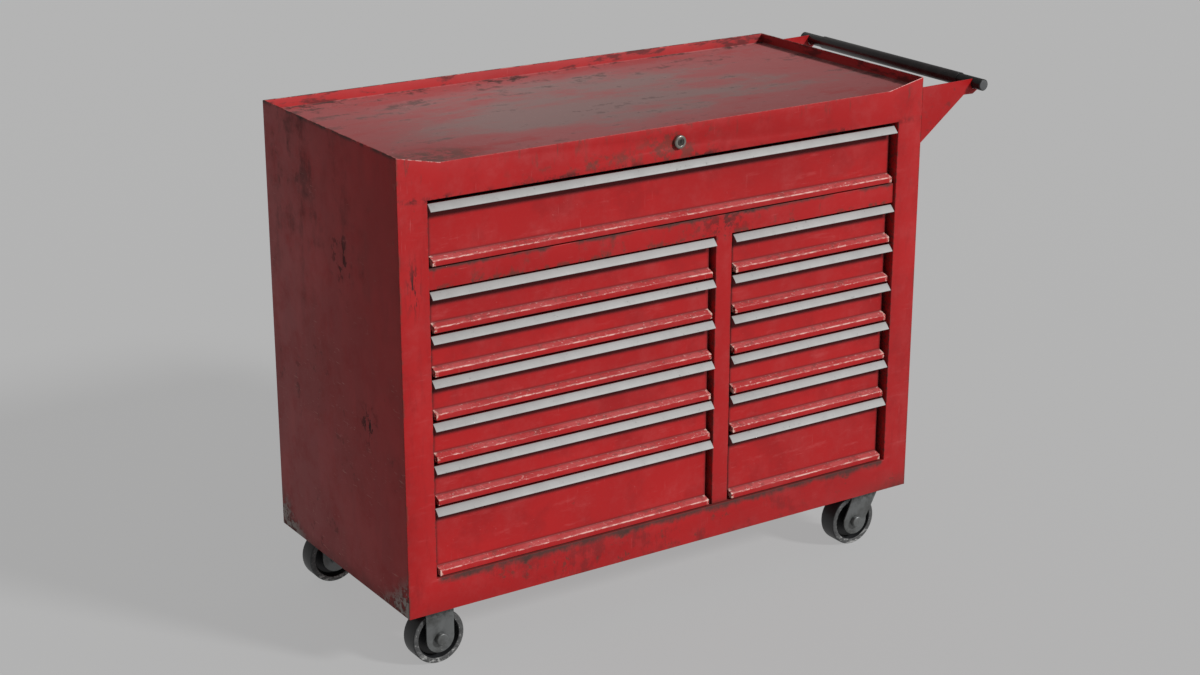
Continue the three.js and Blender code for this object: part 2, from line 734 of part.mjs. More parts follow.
function swivelPlate() {
  const race = turnedZ([
    [0, crownTop + gap], [raceRadius - raceChamfer, crownTop + gap], [raceRadius, crownTop + gap + raceChamfer],
    [raceRadius, plateBottom + fuse], [0, plateBottom + fuse],
  ]);
  const head = crownTop - crownThickness - gap;
  const pin = turnedZ([
    [0, crownTop - kingpinLength], [kingpinHeadRadius, crownTop - kingpinLength], [kingpinHeadRadius, head],
    [kingpinRadius, head], [kingpinRadius, crownTop + gap + fuse], [0, crownTop + gap + fuse],
  ], 24);
  return join(mountingPlate(), race, pin);
}

function wheel() {
  const half = wheelWidth / 2;
  const hubHalf = forkInner - hubClear;
  const bore = axleRadius + gap;
  const right = [
    [hubRadius, hubHalf], [hubRadius, webHalf], [dishRadius - dishSlope, webHalf], [dishRadius, half - dishRimDrop],
    [dishRadius + dishRim, half], [wheelRadius - treadRound, half], [wheelRadius, half - treadRound],
  ];
  const left = right.map(([r, h]) => [r, -h]).reverse();
  return turnedY([[bore, hubHalf], ...right, ...left, [bore, -hubHalf], [bore, hubHalf]]);
}

function axleBolt() {
  const seat = forkOuter + gap;
  const cap = seat + axleCapLength;
  const nut = seat + axleNutLength;
  return turnedY([
    [0, -cap], [axleCapRadius - axleCapChamfer, -cap], [axleCapRadius, -cap + axleCapChamfer],
    [axleCapRadius, -seat],
    [axleRadius, -seat], [axleRadius, seat], [axleNutRadius, seat], [axleNutRadius, nut], [0, nut],
  ], 28);
}

function addCaster(name, side, y, swivels) {
  const group = groupAt(side * (halfWidth - casterInsetX), y, 0);
  if (swivels) add(group, `${name}_swivel_plate`, swivelPlate(), zincSteel);
  add(group, `${name}_fork`, swivels ? swivelFork() : rigidFork(), greySteel);
  const axle = groupAt(swivels ? -casterTrail : 0, 0, axleRise, group);
  add(axle, `${name}_wheel`, wheel(), blackRubber);
  add(axle, `${name}_axle_bolt`, axleBolt(), greySteel);
}

// ---- assembly -----------------------------------------------------------------------------------
add(cabinet, 'front_frame', frontFrame(), redPaint);
add(cabinet, 'left_side_panel', sidePanel(-1), redPaint);
add(cabinet, 'right_side_panel', sidePanel(1), redPaint);
add(cabinet, 'back_panel', backPanel(), redPaint);
add(cabinet, 'base_panel', basePanel(), redPaint);
add(cabinet, 'top_tray', topTray(), redPaint);
add(cabinet, 'cross_rail_and_divider', crossAndDivider(), redPaint);
add(cabinet, 'centre_partition', centrePartition(), zincSteel);
add(cabinet, 'left_slide_rack', slideRack(-1), zincSteel);
add(cabinet, 'right_slide_rack', slideRack(1), zincSteel);

addDrawer('wide', openingLeft, openingRight, wideBottom, wideFront);
for (const [side, left, right] of [['left', openingLeft, dividerLeft], ['right', dividerRight, openingRight]]) {
  for (let row = 1; row <= smallRows; row += 1) {
    addDrawer(`${side}_${row}`, left, right, columnTop - row * smallPitch + frontGap, smallFront);
  }
  addDrawer(`${side}_deep`, left, right, deepBottom, deepTop - deepBottom);
}

const lock = groupAt(0, 0, lockRise);
add(lock, 'lock_cylinder', lockCylinder(), lockChrome);
add(lock, 'lock_plug', lockPlug(), lockChrome);
add(lock, 'lock_rod', lockRod(), zincSteel);
add(cabinet, 'lock_bar', lockBar(), zincSteel);

const handle = groupAt(halfWidth, 0, 0);
add(handle, 'front_handle_bracket', handleBracket(0, 1), redPaint);
add(handle, 'rear_handle_bracket', handleBracket(cabinetDepth - bracketSheet, -1), redPaint);
const tubeEnds = [-tubeOverhang + plugHeadDepth, cabinetDepth + tubeOverhang - plugHeadDepth];
const bar = groupAt(handleReach, 0, handleRise, handle);
add(bar, 'handle_tube', sleeve(tubeRadius, tubeRadius - tubeWall, ...tubeEnds), blackTube);
add(bar, 'handle_grip', sleeve(gripRadius, tubeRadius + gap, gripInset, cabinetDepth - gripInset), blackRubber);
add(groupAt(0, tubeEnds[0], 0, bar), 'front_end_plug', endPlug(-1), greyPlastic);
add(groupAt(0, tubeEnds[1], 0, bar), 'rear_end_plug', endPlug(1), greyPlastic);

addCaster('front_left', -1, casterInsetY, false);
addCaster('rear_left', -1, cabinetDepth - casterInsetY, false);
addCaster('front_right', 1, casterInsetY, true);
addCaster('rear_right', 1, cabinetDepth - casterInsetY, true);

export default chest;
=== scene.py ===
# %% [markdown]
# # A worn rolling tool chest
# A red sheet-steel chest with thirteen drawers, a tray on top, a push handle on its right side and four
# casters. The frame holds every part at its true size and place, and this notebook gives the parts their
# finish: bent edges with real radii, turned wheels, bolts, and enamel that years of use have scratched,
# chipped and stained.
#
# ## Loading the frame
# Each part comes in as a plain shape whose place is in its mesh. Everything that is made below takes its
# place from those shapes.

# %% Load the frame
import json
import math

import bpy
from mathutils import Matrix, Vector

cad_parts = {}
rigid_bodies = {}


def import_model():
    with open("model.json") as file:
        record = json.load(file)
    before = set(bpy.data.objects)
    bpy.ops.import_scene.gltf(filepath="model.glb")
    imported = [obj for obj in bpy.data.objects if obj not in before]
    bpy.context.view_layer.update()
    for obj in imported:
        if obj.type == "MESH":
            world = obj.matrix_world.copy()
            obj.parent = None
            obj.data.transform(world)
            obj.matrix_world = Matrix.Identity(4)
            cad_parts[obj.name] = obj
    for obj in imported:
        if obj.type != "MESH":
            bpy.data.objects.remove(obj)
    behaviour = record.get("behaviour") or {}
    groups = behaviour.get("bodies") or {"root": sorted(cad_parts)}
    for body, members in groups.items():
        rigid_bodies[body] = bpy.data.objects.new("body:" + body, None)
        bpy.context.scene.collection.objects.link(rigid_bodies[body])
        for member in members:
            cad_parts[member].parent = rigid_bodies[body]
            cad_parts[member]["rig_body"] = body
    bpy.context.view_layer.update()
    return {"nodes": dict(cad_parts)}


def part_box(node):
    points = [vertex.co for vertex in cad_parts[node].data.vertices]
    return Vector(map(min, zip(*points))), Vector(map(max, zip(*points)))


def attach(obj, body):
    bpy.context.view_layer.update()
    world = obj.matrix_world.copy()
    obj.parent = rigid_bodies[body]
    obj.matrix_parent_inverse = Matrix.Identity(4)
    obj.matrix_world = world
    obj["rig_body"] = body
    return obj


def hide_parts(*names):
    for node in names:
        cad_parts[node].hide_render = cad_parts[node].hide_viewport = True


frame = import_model()

# %% [markdown]
# ## Where things are
# The steps below speak of the cabinet's own edges. Its front frame gives the left and right edges, the
# front face, the bottom edge and the rim, and a side panel gives the back.

# %% The cabinet's edges
MM = 0.001
frame_low, frame_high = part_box("front_frame")
LEFT, RIGHT = frame_low[0], frame_high[0]
FRONT, BACK = frame_low[1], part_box("left_side_panel")[1][1]
BOTTOM, RIM = frame_low[2], frame_high[2]
MIDDLE = (LEFT + RIGHT) / 2
FRONT_TOP = RIM - 17 * MM
TRAY_FLOOR = RIM - 19 * MM
POST = 55.8 * MM
RAIL = 63.5 * MM
OPENING_TOP = FRONT_TOP - 61.5 * MM
RAILS_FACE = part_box("cross_rail_and_divider")[0][1]
print("cabinet", RIGHT - LEFT, BACK - FRONT, RIM - BOTTOM)

# %% [markdown]
# ## Shader maths
# Wear is arithmetic on masks: a mask is 1 where the paint is worn and 0 elsewhere, and masks are added,
# multiplied and turned round. Linking Math nodes by hand hides that arithmetic. A small class lets a
# socket take part in ordinary Python expressions, each of which adds its node.

# %% A socket that does arithmetic
class Value:
    def __init__(self, paint, socket):
        self.paint = paint
        self.socket = socket

    def maths(self, operation, *others):
        inputs = {0: self, **dict(enumerate(others, 1))}
        return self.paint.node("ShaderNodeMath", {"operation": operation}, inputs)

    def __add__(self, other):
        return self.maths("ADD", other)

    def __sub__(self, other):
        return self.maths("SUBTRACT", other)

    def __rsub__(self, other):
        return self.paint.node("ShaderNodeMath", {"operation": "SUBTRACT"}, {0: other, 1: self})

    def __mul__(self, other):
        return self.maths("MULTIPLY", other)

    def __abs__(self):
        return self.maths("ABSOLUTE")

    __radd__ = __add__
    __rmul__ = __mul__

    def at_most(self, other):
        return self.maths("MINIMUM", other)

    def at_least(self, other):
        return self.maths("MAXIMUM", other)


# %% [markdown]
# ## A material under construction
# Every finish starts from a Principled shader. The class holds the node tree, adds nodes from a type,
# its settings and its inputs, and knows the few patterns that all finishes share: noise, a smooth step,
# and a soft band round a place.

# %% The material class
def srgb(red, green, blue):
    def linear(level):
        level /= 255
        return level / 12.92 if level <= 0.04045 else ((level + 0.055) / 1.055) ** 2.4
    return (linear(red), linear(green), linear(blue), 1.0)


class Paint:
    def __init__(self, name, **fixed):
        self.material = bpy.data.materials.new(name)
        self.material.use_nodes = True
        self.tree = self.material.node_tree
        self.shader = self.tree.nodes["Principled BSDF"]
        for socket, value in fixed.items():
            self.shader.inputs[socket.replace("_", " ")].default_value = value
        self.place = self.node("ShaderNodeTexCoord", {}, {}, "Object")
        split = self.node("ShaderNodeSeparateXYZ", {}, {0: self.place}).socket.node
        self.x, self.y, self.z = (Value(self, output) for output in split.outputs)

    def node(self, kind, settings, inputs, output=0):
        made = self.tree.nodes.new(kind)
        for key, value in settings.items():
            setattr(made, key, value)
        for key, value in inputs.items():
            if isinstance(value, Value):
                self.tree.links.new(value.socket, made.inputs[key])
            else:
                made.inputs[key].default_value = value
        return Value(self, made.outputs[output])

    def set(self, socket, value):
        self.tree.links.new(value.socket, self.shader.inputs[socket])

    def noise(self, scale, detail=3.0, roughness=0.5, where=None, distortion=0.0):
        inputs = {"Vector": where or self.place, "Scale": scale, "Detail": detail, "Roughness": roughness,
                  "Distortion": distortion}
        return self.node("ShaderNodeTexNoise", {}, inputs)

    def stretched(self, x, y, z, turn=(0.0, 0.0, 0.0)):
        inputs = {"Vector": self.place, "Rotation": turn, "Scale": (x, y, z)}
        return self.node("ShaderNodeMapping", {}, inputs)

    def step(self, value, start, end):
        ramp = {"interpolation_type": "SMOOTHSTEP"}
        return self.node("ShaderNodeMapRange", ramp, {0: value, 1: start, 2: end, 3: 0.0, 4: 1.0})

    def near(self, value, middle, reach):
        return self.step(abs(value - middle), reach, 0.0)

    def mix(self, share, below, above):
        return self.node("ShaderNodeMix", {"data_type": "RGBA"}, {0: share, 6: below, 7: above}, 2)

    def bump(self, height, strength, distance):
        return self.node("ShaderNodeBump", {}, {"Strength": strength, "Distance": distance, "Height": height})

    def attribute(self, name):
        return self.node("ShaderNodeAttribute", {"attribute_name": name}, {}, "Fac")


# %% [markdown]
# ## Red enamel and its wear
# The chest's enamel is one red, but no two panels have aged alike. Each panel's material therefore has
# the same ground, with a slow change of tone, a dusty bloom, hairline scratches and small chips, and a
# list of its own marks on top. A mark is a mask, a colour and a roughness. This keeps the panels one
# family while the tray gets its scrubbed haze and the bottom rail its band of grime.

# %% The enamel's ground
RED = srgb(163, 26, 28)
DEEP_RED = srgb(128, 20, 23)
BLOOM = srgb(190, 92, 92)
PALE_PINK = srgb(224, 170, 164)
CREAM = srgb(232, 206, 192)
GRIME = srgb(52, 46, 42)
BARE_BROWN = srgb(84, 50, 42)
NEAR_BLACK = srgb(30, 20, 20)
ENAMEL_ROUGHNESS = 0.42


def enamel(name, marks_of, bloom=0.16, scratches=0.4, chips=0.5):
    paint = Paint(name, Metallic=0.0, Specular_IOR_Level=0.22)
    tone = paint.noise(4.0, 4.0, 0.6)
    colour = paint.mix(paint.step(tone, 0.35, 0.75) * 0.45, RED, DEEP_RED)
    dust = paint.step(paint.noise(16.0, 6.0, 0.72), 0.42, 0.8)
    colour = paint.mix(dust * bloom, colour, BLOOM)
    roughness = dust * 0.16 + ENAMEL_ROUGHNESS

    hair = paint.noise(1.0, 2.0, 0.5, paint.stretched(26.0, 26.0, 420.0, (0.35, 0.5, 0.0)))
    cross = paint.noise(1.0, 2.0, 0.5, paint.stretched(330.0, 200.0, 18.0, (0.2, 0.0, 0.4)))
    broken = paint.step(paint.noise(14.0, 2.0), 0.5, 0.66)
    scratch = paint.step(hair.at_least(cross), 0.69, 0.76) * broken
    colour = paint.mix(scratch * scratches, colour, BLOOM)

    flake = paint.noise(95.0, 5.0, 0.65)
    clusters = paint.step(paint.noise(7.0, 3.0), 0.56, 0.74)
    chip = paint.step(flake, 0.64, 0.68) * clusters * chips
    colour = paint.mix(chip, colour, BARE_BROWN)
    roughness = roughness + chip * 0.3
    depth = chip * -1.0 - scratch * 0.2

    for mask, shade, gloss, sunk in marks_of(paint):
        colour = paint.mix(mask, colour, shade)
        roughness = roughness + mask * (gloss - ENAMEL_ROUGHNESS)
        depth = depth - mask * sunk
    peel = paint.noise(420.0, 2.0, 0.5)
    paint.set("Base Color", colour)
    paint.set("Roughness", roughness)
    paint.set("Normal", paint.bump(depth + peel * 0.12, 0.35, 0.0006))
    return paint.material


# %% [markdown]
# ## Marks of each panel
# The front frame is rubbed brown round the lock and along the lower edge of its top rail, where hands
# reach for the top drawer. Its left post is knocked, and greasy grime sits along the bottom rail under
# the lowest drawers. Masks in metres place these marks, and noise breaks up their outlines.

# %% Front frame
SLANT_RUN = 80 * MM
LOCK_HEIGHT = 771 * MM


def front_marks(paint):
    x, z = paint.x - MIDDLE, paint.z - BOTTOM
    front_top, opening_top = FRONT_TOP - BOTTOM, OPENING_TOP - BOTTOM
    rag = paint.noise(38.0, 5.0, 0.7)
    fine = paint.noise(150.0, 4.0, 0.7)
    wide = paint.noise(9.0, 4.0, 0.6)
    blotch = paint.noise(17.0, 5.0, 0.7)
    hanging = paint.noise(1.0, 5.0, 0.7, paint.stretched(70.0, 40.0, 14.0))
    top_rail = paint.step(z, opening_top - 0.002, opening_top + 0.002)
    mottle = paint.step(blotch, 0.5, 0.68)
    slant_x = abs(x) - ((RIGHT - LEFT) / 2 - SLANT_RUN)
    rim = slant_x.at_least(0.0) * ((RIM - FRONT_TOP) / SLANT_RUN) + front_top
    # A pale pink line along the rim's edge, strongest on the slants: partly painted highlight, partly worn
    # paint.
    rim_highlight_and_wear = paint.near(z - rim, 0.0, 0.0016) * paint.step(fine, 0.4, 0.55) * (
        paint.step(abs(x), 0.465, 0.478) * 0.75 + 0.12)
    drips = top_rail * paint.step(hanging, 0.545, 0.66) * paint.step(
        z + rag * 0.04, front_top - 0.03, front_top + 0.015) * paint.step(wide, 0.4, 0.56)
    lock_rub = paint.step(x * x * 0.25 + (z - LOCK_HEIGHT) * (z - LOCK_HEIGHT), 0.0026, 0.0004) * paint.step(
        rag, 0.47, 0.58)
    left_of_lock = paint.near(x, -0.17, 0.26) * paint.near(z, opening_top + 0.016, 0.026)
    left_scuffs = top_rail * left_of_lock * paint.step(blotch * 0.5 + rag * 0.5, 0.5, 0.58)
    low_rub = paint.near(z, opening_top + 0.002, 0.009) * paint.step(wide, 0.42, 0.58) * paint.step(
        rag, 0.45, 0.56)
    knock = paint.near(x, -0.529, 0.02) * paint.near(z, 0.595, 0.07) * paint.step(
        paint.noise(1.0, 4.0, 0.7, paint.stretched(150.0, 60.0, 22.0)), 0.505, 0.55)
    posts = paint.step(abs(x), 0.4955, 0.5)
    inner_edge = paint.near(abs(x), 0.4995, 0.003) * paint.step(fine, 0.48, 0.58) * paint.step(
        z, RAIL, RAIL + 0.004) * paint.step(z, opening_top, opening_top - 0.004)
    outer_edge = paint.step(abs(x), 0.5505, 0.5548) * paint.step(rag, 0.46, 0.58)
    bottom_rail = paint.step(z, RAIL + 0.002, RAIL - 0.001)
    dark_band = bottom_rail * paint.step(z + rag * 0.03 + wide * 0.012, RAIL + 0.006, RAIL + 0.02) * paint.step(
        abs(x), 0.5, 0.49)
    blotches = bottom_rail * paint.step(blotch * 0.6 + hanging * 0.4, 0.5, 0.6) * paint.step(
        abs(x + 0.05), 0.5, 0.2)
    spots = bottom_rail * paint.step(rag, 0.6, 0.66) * paint.step(wide, 0.42, 0.56)
    foot = paint.step(z + rag * 0.04, 0.03, 0.012) * paint.step(wide, 0.42, 0.62)
    right_foot = paint.step(x, 0.4, 0.555) * paint.step(z + rag * 0.06, 0.075, 0.02)
    smear = paint.step(paint.noise(1.0, 4.0, 0.65, paint.stretched(9.0, 9.0, 60.0)), 0.6, 0.75)
    return [
        (mottle * 0.3, DEEP_RED, 0.48, 0.0),
        (smear * 0.16, BLOOM, 0.55, 0.0),
        (posts * paint.step(hanging, 0.5, 0.66) * 0.25, DEEP_RED, 0.5, 0.0),
        (left_scuffs * 0.72, BARE_BROWN, 0.6, 0.4),
        (drips * 0.58, BARE_BROWN, 0.6, 0.0),
        (lock_rub * 0.6, BARE_BROWN, 0.55, 0.3),
        (low_rub * 0.75, NEAR_BLACK, 0.6, 0.4),
        (knock * 0.95, NEAR_BLACK, 0.7, 1.2),
        (rim_highlight_and_wear, PALE_PINK, 0.5, 0.0),
        (blotches * 0.5, srgb(104, 30, 30), 0.6, 0.0),
        (spots * 0.6, BARE_BROWN, 0.7, 0.3),
        (dark_band * 0.85, GRIME, 0.8, 0.0),
        (foot * 0.5, GRIME, 0.75, 0.0),
        (right_foot * 0.6, GRIME, 0.75, 0.0),
        (outer_edge * 0.6, BARE_BROWN, 0.6, 0.3),
        (inner_edge * 0.6, GRIME, 0.6, 0.0),
    ]


# %% [markdown]
# The sides have stood close to walls and other chests: long dark stains hang from the top at the back,
# a few deep knocks show metal, fine scratches run across, and dirt has crept up from the floor. Their red
# is also painted darker than the front's, in soft upright streaks, as painted shade for the side that
# faces away from the light.

# %% Sides and back
def side_marks(paint):
    x, y, z = paint.x - MIDDLE, paint.y - FRONT, paint.z - BOTTOM
    depth = BACK - FRONT
    rag = paint.noise(30.0, 5.0, 0.7)
    wide = paint.noise(6.0, 5.0, 0.65)
    fine = paint.noise(85.0, 4.0, 0.75)
    upright = paint.noise(1.0, 5.0, 0.65, paint.stretched(15.0, 15.0, 4.0))
    cloud = paint.step(upright * 0.6 + wide * 0.4, 0.44, 0.62)
    high_back = paint.step(z, 0.42, 0.72) * paint.step(y, 0.06, 0.36)
    stain = paint.step(upright * 0.4 + rag * 0.35 + wide * 0.25, 0.49, 0.6) * high_back
    spots = paint.step(rag, 0.58, 0.66) * paint.step(wide, 0.46, 0.6)
    knock = paint.near(y, 0.13, 0.05) * paint.near(z, 0.315, 0.055) * paint.step(
        paint.noise(1.0, 4.0, 0.7, paint.stretched(85.0, 85.0, 52.0)), 0.54, 0.57)
    cut = paint.near(y, 0.21, 0.06) * paint.near(z, 0.6, 0.09) * paint.step(
        paint.noise(48.0, 4.0), 0.56, 0.61)
    outer_end = paint.step(abs(x), 0.552, 0.5545).at_least(paint.step(abs(x) - z * 1.5, 0.42, 0.52))
    corner = paint.step(abs(y - depth / 2) - z * 1.5, 0.11, 0.2) * outer_end
    corner_dirt = corner * paint.step(rag, 0.36, 0.52)
    corner_scuff = corner * paint.step(fine * 0.45 + rag * 0.55, 0.485, 0.53)
    foot = paint.step(z + rag * 0.05 + wide * 0.05, 0.085, 0.04)
    top_edge = paint.near(z, RIM - BOTTOM, 0.008) * paint.step(rag, 0.4, 0.52)
    front_edge = paint.near(y, 0.0, 0.006) * paint.step(rag, 0.48, 0.58)
    # Painted shade: the whole side is darkened below the front's red, in soft upright streaks.
    shade_tone = paint.step(upright, 0.62, 0.38) * 0.4 + 0.35
    line = paint.noise(1.0, 2.0, 0.5, paint.stretched(36.0, 46.0, 420.0, (0.75, 0.0, 0.0)))
    cross_line = paint.noise(1.0, 2.0, 0.5, paint.stretched(40.0, 380.0, 36.0, (-0.35, 0.0, 0.0)))
    hairs = paint.step(line, 0.67, 0.72) * paint.step(wide + (0.5 - z) * 0.12, 0.44, 0.58)
    nicks = paint.step(cross_line, 0.68, 0.73) * paint.step(wide, 0.48, 0.58)
    return [
        (shade_tone, srgb(120, 26, 27), 0.5, 0.0),
        (cloud * 0.5, srgb(104, 36, 35), 0.56, 0.0),
        (stain * 0.5, srgb(44, 20, 20), 0.6, 0.0),
        (spots * 0.45, srgb(56, 28, 26), 0.6, 0.0),
        (hairs * 0.5, srgb(170, 118, 110), 0.55, 0.1),
        (nicks * 0.45, srgb(170, 118, 110), 0.55, 0.1),
        (knock * 0.95, NEAR_BLACK, 0.7, 1.2),
        (cut * 0.8, NEAR_BLACK, 0.7, 1.0),
        (foot * 0.45, GRIME, 0.75, 0.0),
        (corner_dirt * 0.75, GRIME, 0.75, 0.0),
        (corner_scuff * 0.7, srgb(150, 144, 140), 0.7, 0.2),
        (top_edge * 0.85, GRIME, 0.6, 0.0),
        (front_edge * 0.4, NEAR_BLACK, 0.6, 0.0),
    ]


# %% [markdown]
# The tray is where tools are thrown down and oil is wiped up. Its red is scrubbed to a hazy pink-grey,
# grey-green rests of old coating lie in patches along its length, and grime sits against the back wall
# and in the corners. Sliding tools run along the chest, so the noise is stretched that way.

# %% Tray
def tray_marks(paint):
    x, y, z = paint.x - MIDDLE, paint.y - FRONT, paint.z - BOTTOM
    depth = BACK - FRONT
    floor = paint.step(z, TRAY_FLOOR - BOTTOM + 0.0025, TRAY_FLOOR - BOTTOM + 0.0005)
    walls = paint.step(z, TRAY_FLOOR - BOTTOM + 0.0005, TRAY_FLOOR - BOTTOM + 0.0025)
    cloud = paint.noise(1.0, 6.0, 0.62, paint.stretched(2.6, 6.5, 6.5), 0.3)
    drag = paint.noise(1.0, 6.0, 0.66, paint.stretched(8.0, 30.0, 30.0))
    rag = paint.noise(34.0, 6.0, 0.75)
    fine = paint.noise(120.0, 5.0, 0.75)
    centre = paint.step(x * x * 1.3 + (y - 0.25) * (y - 0.25) * 7.0, 0.5, 0.02)
    haze = cloud * 0.55 + drag * 0.3 + rag * 0.15
    green = paint.step(haze + centre * 0.17, 0.555, 0.71)
    red = paint.step(haze + centre * 0.1 + paint.step(x, 0.05, 0.4) * 0.035, 0.53, 0.43)
    left_end = paint.step(x, -0.22, -0.52)
    corner = paint.step((x + 0.47) * (x + 0.47) + (y - 0.045) * (y - 0.045) * 3.0, 0.014, 0.0)
    corner_dirt = corner * paint.step(rag, 0.42, 0.55)
    back = paint.step(y + rag * 0.16 + drag * 0.14, depth + 0.128, depth + 0.16)
    back_blots = paint.step(y, 0.33, 0.46) * paint.step(rag * 0.5 + drag * 0.5, 0.52, 0.58)
    ends = paint.step(abs(x) + rag * 0.09 + drag * 0.05, 0.598, 0.628)
    smudges = paint.step(rag * 0.45 + drag * 0.55, 0.555, 0.61)
    specks = paint.step(fine, 0.63, 0.68)
    # Dark red patches on the walls: partly dirt, partly painted shade of the shaded inner walls.
    wall_dirt_and_shade = walls * paint.step(paint.noise(1.0, 5.0, 0.7, paint.stretched(9.0, 9.0, 30.0)), 0.5, 0.6)
    rim = paint.step(z, RIM - BOTTOM - 0.0009, RIM - BOTTOM - 0.0003)
    return [
        (floor * 0.86, srgb(158, 97, 97), 0.62, 0.0),
        (floor * red * 0.58, srgb(163, 61, 62), 0.56, 0.0),
        (floor * green * 0.58, srgb(124, 125, 121), 0.6, 0.1),
        (floor * left_end * 0.4, srgb(124, 52, 52), 0.6, 0.0),
        (floor * smudges * 0.5, srgb(92, 74, 72), 0.7, 0.2),
        (floor * back_blots * 0.55, srgb(78, 58, 55), 0.7, 0.0),
        (floor * specks * 0.4, srgb(184, 150, 146), 0.6, 0.1),
        (floor * corner_dirt * 0.6, srgb(70, 68, 60), 0.75, 0.0),
        (floor * back * 0.8, srgb(62, 46, 43), 0.75, 0.0),
        (floor * ends * 0.6, srgb(74, 52, 50), 0.75, 0.0),
        (wall_dirt_and_shade * 0.7, srgb(58, 24, 24), 0.65, 0.0),
        # Pale pink along the rim's top: partly painted highlight, partly worn paint.
        (rim * paint.step(rag, 0.5, 0.42) * 0.5, PALE_PINK, 0.5, 0.0),
        (rim * paint.step(rag, 0.46, 0.54) * 0.8, GRIME, 0.6, 0.0),
    ]


# %% [markdown]
# The rail and divider between the drawers are handled all day. Dirt collects on the rail's top edge
# below the wide drawer, and where the divider meets the rail.

# %% Cross rail and divider
def rail_marks(paint):
    x, z = paint.x - MIDDLE, paint.z - BOTTOM
    rag = paint.noise(45.0, 5.0, 0.7)
    wide = paint.noise(8.0, 4.0, 0.6)
    hanging = paint.noise(1.0, 5.0, 0.7, paint.stretched(70.0, 40.0, 14.0))
    top = paint.step(z + rag * 0.016 + wide * 0.008, 0.626, 0.634) * paint.step(wide, 0.34, 0.52)
    stains = paint.step(z, 0.58, 0.588) * paint.step(rag * 0.4 + hanging * 0.3 + wide * 0.3, 0.52, 0.6)
    junction = paint.near(x, 0.106, 0.09) * paint.near(z, 0.606, 0.034) * paint.step(rag, 0.47, 0.56)
    lower = paint.step(z, 0.594, 0.586) * paint.step(z, 0.57, 0.583) * paint.step(rag, 0.5, 0.58)
    edges = paint.near(abs(x - 0.1061), 0.0176, 0.004) * paint.step(z, 0.584, 0.58) * paint.step(
        rag, 0.45, 0.56)
    foot = paint.step(z + rag * 0.02, 0.085, 0.07)
    return [
        (stains * 0.42, BARE_BROWN, 0.65, 0.2),
        (top * 0.85, GRIME, 0.7, 0.0),
        (junction * 0.7, srgb(48, 26, 24), 0.65, 0.3),
        (lower * 0.7, BARE_BROWN, 0.6, 0.2),
        (edges * 0.55, GRIME, 0.65, 0.0),
        (foot * 0.6, GRIME, 0.7, 0.0),
    ]


# %% [markdown]
# The drawers share one material. It can't read the height in the room, because each drawer's ledge is
# elsewhere, so each drawer carries attributes of its own: how far a point is above the front's lower edge,
# how far it is from the front's middle, half the front's width, and how far below the pull it is. The
# ledge's top is rubbed pink, its edge is chipped pale, and its ends are knocked bare. The crease above the
# ledge is darkened, the face's ends next to the frame carry painted shade, and a dark band of painted
# shadow lies under the pull.

# %% Drawers
LEDGE_EDGE = 10.4 * MM
LEDGE_BACK = 15 * MM
LEDGE_FACE = FRONT + 3 * MM


